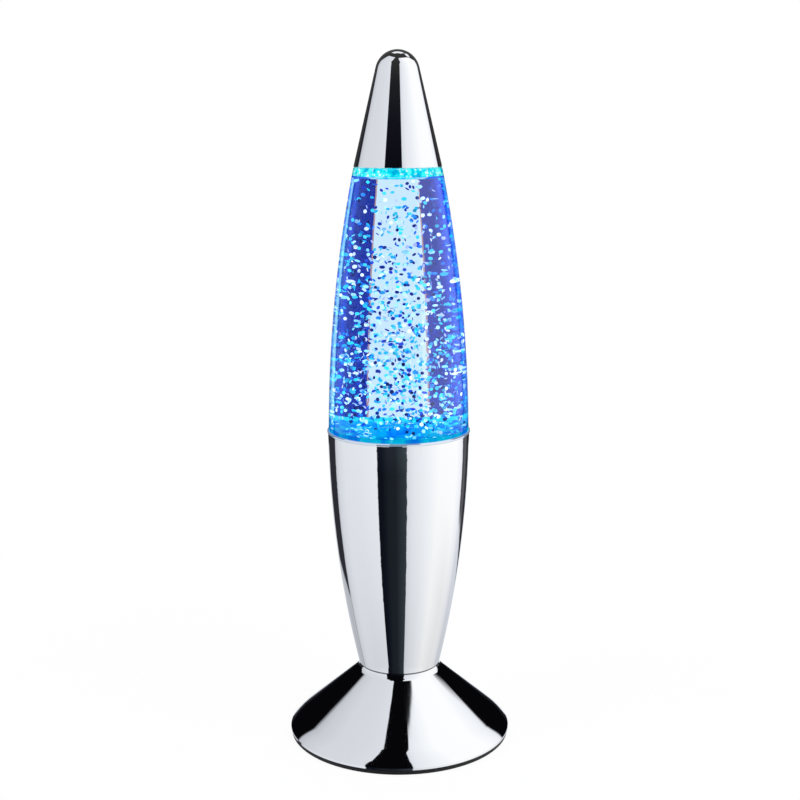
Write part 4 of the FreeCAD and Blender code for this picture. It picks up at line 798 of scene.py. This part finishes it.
class LAMP_OT_scatter_glitter(bpy.types.Operator):
    """Scatters the flakes: most drift at every slant, and some lie on the bottle's floor"""

    bl_idname = "lamp.scatter_glitter"
    bl_label = "Scatter the glitter"

    def execute(self, context):
        settings = context.scene.lamp_glitter
        chance = random.Random(settings.seed)
        model = flake(settings)
        points = len(model.data.vertices)
        flakes = []
        for i in range(settings.floating + settings.lying):
            grown = Matrix.Diagonal([chance.uniform(0.85, 1.05)] * 2 + [1.0, 1.0])
            if i < settings.floating:
                spot = floating_spot(chance, settings)
                slant = Euler([chance.uniform(0.0, math.tau) for _ in range(3)])
            else:
                away = BOTTLE_WALL.at(WELD, WALL_THICK + settings.across) * math.sqrt(
                    chance.uniform(0.18, 1.0))
                turn = chance.uniform(0.0, math.tau)
                spot = Vector((away * math.cos(turn), away * math.sin(turn),
                               BOTTLE_FLOOR + chance.uniform(0.1, 0.9) * MM))
                slant = Euler((chance.gauss(0.0, 0.6), chance.gauss(0.0, 0.6), turn))
            copy = model.copy()
            copy.data = model.data.copy()
            copy.data.transform(Matrix.Translation(spot) @ slant.to_matrix().to_4x4() @ grown)
            tones = FLAKE_TONES if i < settings.floating else LYING_TONES
            _, film, glow = chance.choices(tones, [common for common, _, _ in tones])[0]
            level = chance.uniform(0.75, 1.1)
            glow = tuple(v * level for v in glow)
            for name, colour in (("film", film), ("glow", glow)):
                copy.data.attributes[name].data.foreach_set("color", (colour + (1.0,)) * points)
            flakes.append(copy)
        for copy in flakes:
            context.collection.objects.link(copy)
        bpy.ops.object.select_all(action="DESELECT")
        for copy in flakes:
            copy.select_set(True)
        context.view_layer.objects.active = flakes[0]
        bpy.ops.object.join()
        glitter = context.object
        glitter.name = glitter.data.name = "glitter"
        bpy.data.objects.remove(model)
        dress(glitter, glitter_film("glitter_film"))
        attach(glitter, "bottle")
        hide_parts("glitter_flakes")
        return {"FINISHED"}


# Stage

CHROME_SHARE = 0.9
# Each lamp's name, its place, the height on the axis that it points at, its width and its watts.
SOFT_LAMPS = (("right", (0.9, -0.7, 1.1), 0.15, 0.9, 9.0), ("left", (-1.0, -0.5, 0.9), 0.15, 0.8, 5.0),
              ("over", (0.0, 0.35, 1.5), 0.1, 1.0, 8.0))


def studio_walls():
    """The studio that metal and glass show: pale walls with dark gaps between them, dark overhead.
    Directions are a turn from the camera's side, positive to its right, and a height, in degrees."""
    world = bpy.data.worlds.new("studio_walls")
    bpy.context.scene.world = world
    make = Recipe(world)
    x, y, z = make.axes(make.node("TexCoord").output("Generated"))
    turn = x.maths("ARCTAN2", x, -y) * math.degrees(1.0)
    height = z.put_through("ARCSINE") * math.degrees(1.0)

    def wall(*stops):
        """A wall's tone by its turn."""
        return make.spread(turn, [(at, seen(*tone)) for at, tone in stops])

    # A wall on each side, a little darker low down, and in front a dark gap between them.
    right_wall = wall((-40.0, (205, 209, 216)), (15.0, (216, 219, 226)), (25.0, (228, 231, 236)),
                      (42.0, (236, 239, 243)), (70.0, (251, 252, 253)), (110.0, (252, 253, 254)),
                      (124.0, (240, 242, 246)), (135.0, (216, 219, 226)), (160.0, (204, 208, 216)),
                      (175.0, (226, 229, 235)))
    left_wall = wall((-170.0, (198, 201, 208)), (-140.0, (178, 181, 188)), (-128.0, (190, 193, 200)),
                     (-118.0, (212, 215, 221)), (-100.0, (223, 226, 232)), (-70.0, (225, 228, 234)),
                     (-36.0, (231, 234, 240)))
    sink = make.curve(height, [(-60.0, 0.78), (-48.0, 0.80), (-42.0, 0.83), (-34.0, 0.90), (-25.0, 0.955),
                               (-14.0, 1.0)])
    left_sink = make.curve(height, [(-14.0, 1.0), (0.0, 0.93), (20.0, 0.88)])
    right_sink = 1.0 - turn.above(85.0, 30.0) * (1.0 - height.above(-26.0, 10.0)) * 0.14
    gap = wall((-36.0, (12, 15, 23)), (-27.0, (14, 18, 27)), (-17.0, (26, 30, 37)), (-5.0, (28, 32, 38)),
               (1.0, (37, 43, 49)), (12.0, (47, 55, 60)))
    gap = make.mix(1.0, gap, height.above(-17.0, 3.0) * 0.5 + 1.0, "MULTIPLY")
    dark = seen(6, 6, 9)
    front_left = make.curve(height, [(-48.0, -35.3), (24.0, -36.0), (40.0, -38.5), (52.0, -46.0),
                                     (57.0, -40.5), (70.0, -39.0), (74.0, -35.0)])
    front_right = make.curve(height, [(-48.0, 14.3), (-12.0, 13.2), (24.0, 11.5), (40.0, 12.5),
                                      (52.0, 20.0), (60.0, 15.5), (71.0, 14.5), (74.0, 27.0), (77.0, 36.0)])
    upper = height.above(-7.0, 6.0)
    sides = make.mix(turn.above(front_left, 0.8), make.mix(1.0, left_wall, left_sink, "MULTIPLY"),
                     make.mix(1.0, right_wall, right_sink, "MULTIPLY"))
    sides = make.mix(1.0, sides, sink, "MULTIPLY")
    colour = make.mix(turn.between(front_left, front_right, 0.8), sides, make.mix(upper, gap, dark))

    # The dark walls behind on each side. High up they reach round the back.
    left_in = make.curve(height, [(-28.0, -127.0), (28.0, -127.0), (36.0, -123.0), (44.0, -119.0)])
    left_out = make.curve(height, [(-27.0, -128.0), (-24.5, -137.0), (-22.0, -148.0), (-20.0, -158.0),
                                   (-13.5, -162.0), (-12.0, -190.0)])
    colour = make.mix(turn.between(left_out, left_in, 2.5), colour, make.mix(upper, seen(43, 43, 49), dark))
    right_in = make.curve(height, [(-20.0, 130.5), (28.0, 129.5), (36.0, 122.0), (46.0, 116.0)])
    right_out = make.curve(height, [(-13.5, 163.0), (-12.0, 190.0)])
    right_end = make.curve(turn, [(130.0, -19.6), (141.0, -19.9), (147.0, -20.6), (160.0, -21.1)])
    grey = wall((130.0, (52, 52, 58)), (136.0, (80, 80, 84)), (141.0, (92, 92, 96)), (146.0, (68, 68, 72)),
                (152.0, (38, 38, 43)))
    colour = make.mix(turn.between(right_in, right_out, 2.5) * height.above(right_end, 1.2), colour,
                      make.mix(upper, grey, dark))

    # Overhead it is dark too, but for two white boards behind.
    away = turn.put_through("ABSOLUTE")
    top = make.curve(turn, [(-128.0, 50.0), (-120.0, 60.0), (-100.0, 68.0), (-70.0, 74.5), (-45.0, 75.5),
                            (-5.0, 74.0), (15.0, 73.0), (22.0, 73.6), (30.0, 73.1), (41.0, 72.4),
                            (50.0, 71.3), (57.0, 70.2), (71.0, 67.8), (100.0, 59.0), (120.0, 44.0),
                            (130.0, 36.0)])
    colour = make.mix(height.above(top, 0.35), colour, dark)
    board = (away + x.above(0.0, 0.01) * 5.0).above(155.0, 4.0) * height.between(54.0, 70.0, 3.0)
    small_board = turn.between(118.0, 146.0, 4.0) * height.between(46.0, 58.0, 2.5)
    colour = make.mix(board.either(small_board), colour, seen(236, 238, 243))

    # Through the bottle a pale sheet with a brown edge shows between dark walls.
    rear = make.mix(away.above(128.0, 3.0), (0.0, 0.03, 0.18), (0.006, 0.006, 0.12))
    beside = make.mix(1.0, colour, (0.80, 0.80, 0.88), "MULTIPLY")
    sheet_edge = 168.1 - x.above(0.0, 0.01) * 0.4
    behind = make.mix(away.above(sheet_edge, 0.4), make.mix(away.above(101.0, 3.0), beside, rear),
                      (0.80, 0.78, 0.88))
    fringe = away.between(sheet_edge - 0.7, sheet_edge + 0.2, 0.3)
    behind = make.mix(fringe * 0.9, behind, (0.62, 0.27, 0.03))

    # The camera itself sees plain white. The rest is raised by what the chrome takes off.
    path = make.node("LightPath")
    colour = make.mix(path.output("Is Transmission Ray"), colour, behind)
    light = make.node("Background", Color=colour, Strength=1.0 / CHROME_SHARE)
    plain = make.node("Background", Color=(1.0, 1.0, 1.0), Strength=1.0)
    make.node("OutputWorld", Surface=make.node("MixShader", n0=path, n1=light, n2=plain))


def floor_cloth(settings):
    """White from the camera with a soft shadow in it. Metal and glass see past it to the walls."""
    material, make = finish("floor_cloth")
    path = make.node("LightPath")
    paper = make.noise(40.0, detail=2.0)
    cloth = make.node("BsdfDiffuse", Color=make.mix(paper, (0.86, 0.86, 0.86), (0.9, 0.9, 0.9)))
    white = make.node("Emission", Color=(1.0, 1.0, 1.0), Strength=1.0)
    far = make.node("VectorMath", {"operation": "LENGTH"}, n0=make.place()).output("Value").above(0.26, 0.3)
    steady = far * (1.0 - settings.floor_white) + settings.floor_white
    ground = make.node("MixShader", n0=path * steady, n1=cloth, n2=white)
    mirror = path.output("Is Glossy Ray").either(path.output("Is Transmission Ray"))
    make.surface(make.node("MixShader", n0=mirror, n1=ground, n2=make.node("BsdfTransparent")))
    return material


def soft_lamp(name, place, aim, across, power):
    """A round soft lamp that lights dull surfaces and leaves no image of itself in metal or glass."""
    bpy.ops.object.light_add(type="AREA", location=place)
    lamp = bpy.context.object
    lamp.name = lamp.data.name = name
    lamp.data.shape = "DISK"
    lamp.data.size = across
    lamp.data.energy = power
    lamp.rotation_euler = (Vector(aim) - Vector(place)).to_track_quat("-Z", "Y").to_euler()
    lamp.visible_camera = lamp.visible_glossy = lamp.visible_transmission = False


class LAMP_OT_set_stage(bpy.types.Operator):
    """Lays the floor, sets the walls and the lamps, and places the camera"""

    bl_idname = "lamp.set_stage"
    bl_label = "Set the stage"

    def execute(self, context):
        settings = context.scene.lamp_stage
        bpy.ops.object.select_all(action="DESELECT")
        bpy.ops.mesh.primitive_circle_add(vertices=96, radius=FLOOR_R, fill_type="NGON")
        floor = context.object
        floor.name = floor.data.name = "floor"
        dress(floor, floor_cloth(settings))
        studio_walls()
        for side, place, aim, across, power in SOFT_LAMPS:
            soft_lamp("lamp_" + side, place, (0.0, 0.0, aim), across, power * settings.key)
        bpy.ops.object.camera_add(
            location=(0.0, -settings.distance, settings.height),
            rotation=(math.pi / 2 - settings.pitch, settings.roll, settings.yaw))
        camera = context.object
        camera.name = camera.data.name = "camera"
        camera.data.sensor_width = 36.0
        camera.data.lens = settings.lens
        context.scene.camera = camera
        context.scene.view_settings.view_transform = "Standard"
        return {"FINISHED"}


class LAMP_PT_tools(bpy.types.Panel):
    """The steps in order, with their settings"""

    bl_idname = "LAMP_PT_tools"
    bl_label = "Glitter lamp"
    bl_space_type = "VIEW_3D"
    bl_region_type = "UI"
    bl_category = "Lamp"

    def draw(self, context):
        for step, group in STEPS:
            box = self.layout.box()
            box.operator(step.bl_idname)
            if group:
                settings = getattr(context.scene, group)
                for name in settings.bl_rna.properties.keys():
                    if name not in ("rna_type", "name"):
                        box.prop(settings, name)


GROUPS = (("lamp_shell", ShellSettings), ("lamp_bottle", BottleSettings), ("lamp_glitter", GlitterSettings),
          ("lamp_stage", StageSettings))
STEPS = ((LAMP_OT_finish_shell, "lamp_shell"), (LAMP_OT_fill_bottle, "lamp_bottle"),
         (LAMP_OT_light_bottle, None), (LAMP_OT_scatter_glitter, "lamp_glitter"),
         (LAMP_OT_set_stage, "lamp_stage"))


def register():
    for name, group in GROUPS:
        bpy.utils.register_class(group)
        setattr(bpy.types.Scene, name, bpy.props.PointerProperty(type=group))
    for step, _ in STEPS:
        bpy.utils.register_class(step)
    bpy.utils.register_class(LAMP_PT_tools)


def unregister():
    bpy.utils.unregister_class(LAMP_PT_tools)
    for step, _ in reversed(STEPS):
        bpy.utils.unregister_class(step)
    for name, group in reversed(GROUPS):
        delattr(bpy.types.Scene, name)
        bpy.utils.unregister_class(group)


def main():
    register()
    bpy.ops.lamp.finish_shell()
    bpy.ops.lamp.fill_bottle()
    bpy.ops.lamp.light_bottle()
    bpy.ops.lamp.scatter_glitter()
    bpy.ops.lamp.set_stage()


if __name__ == "__main__":
    main()
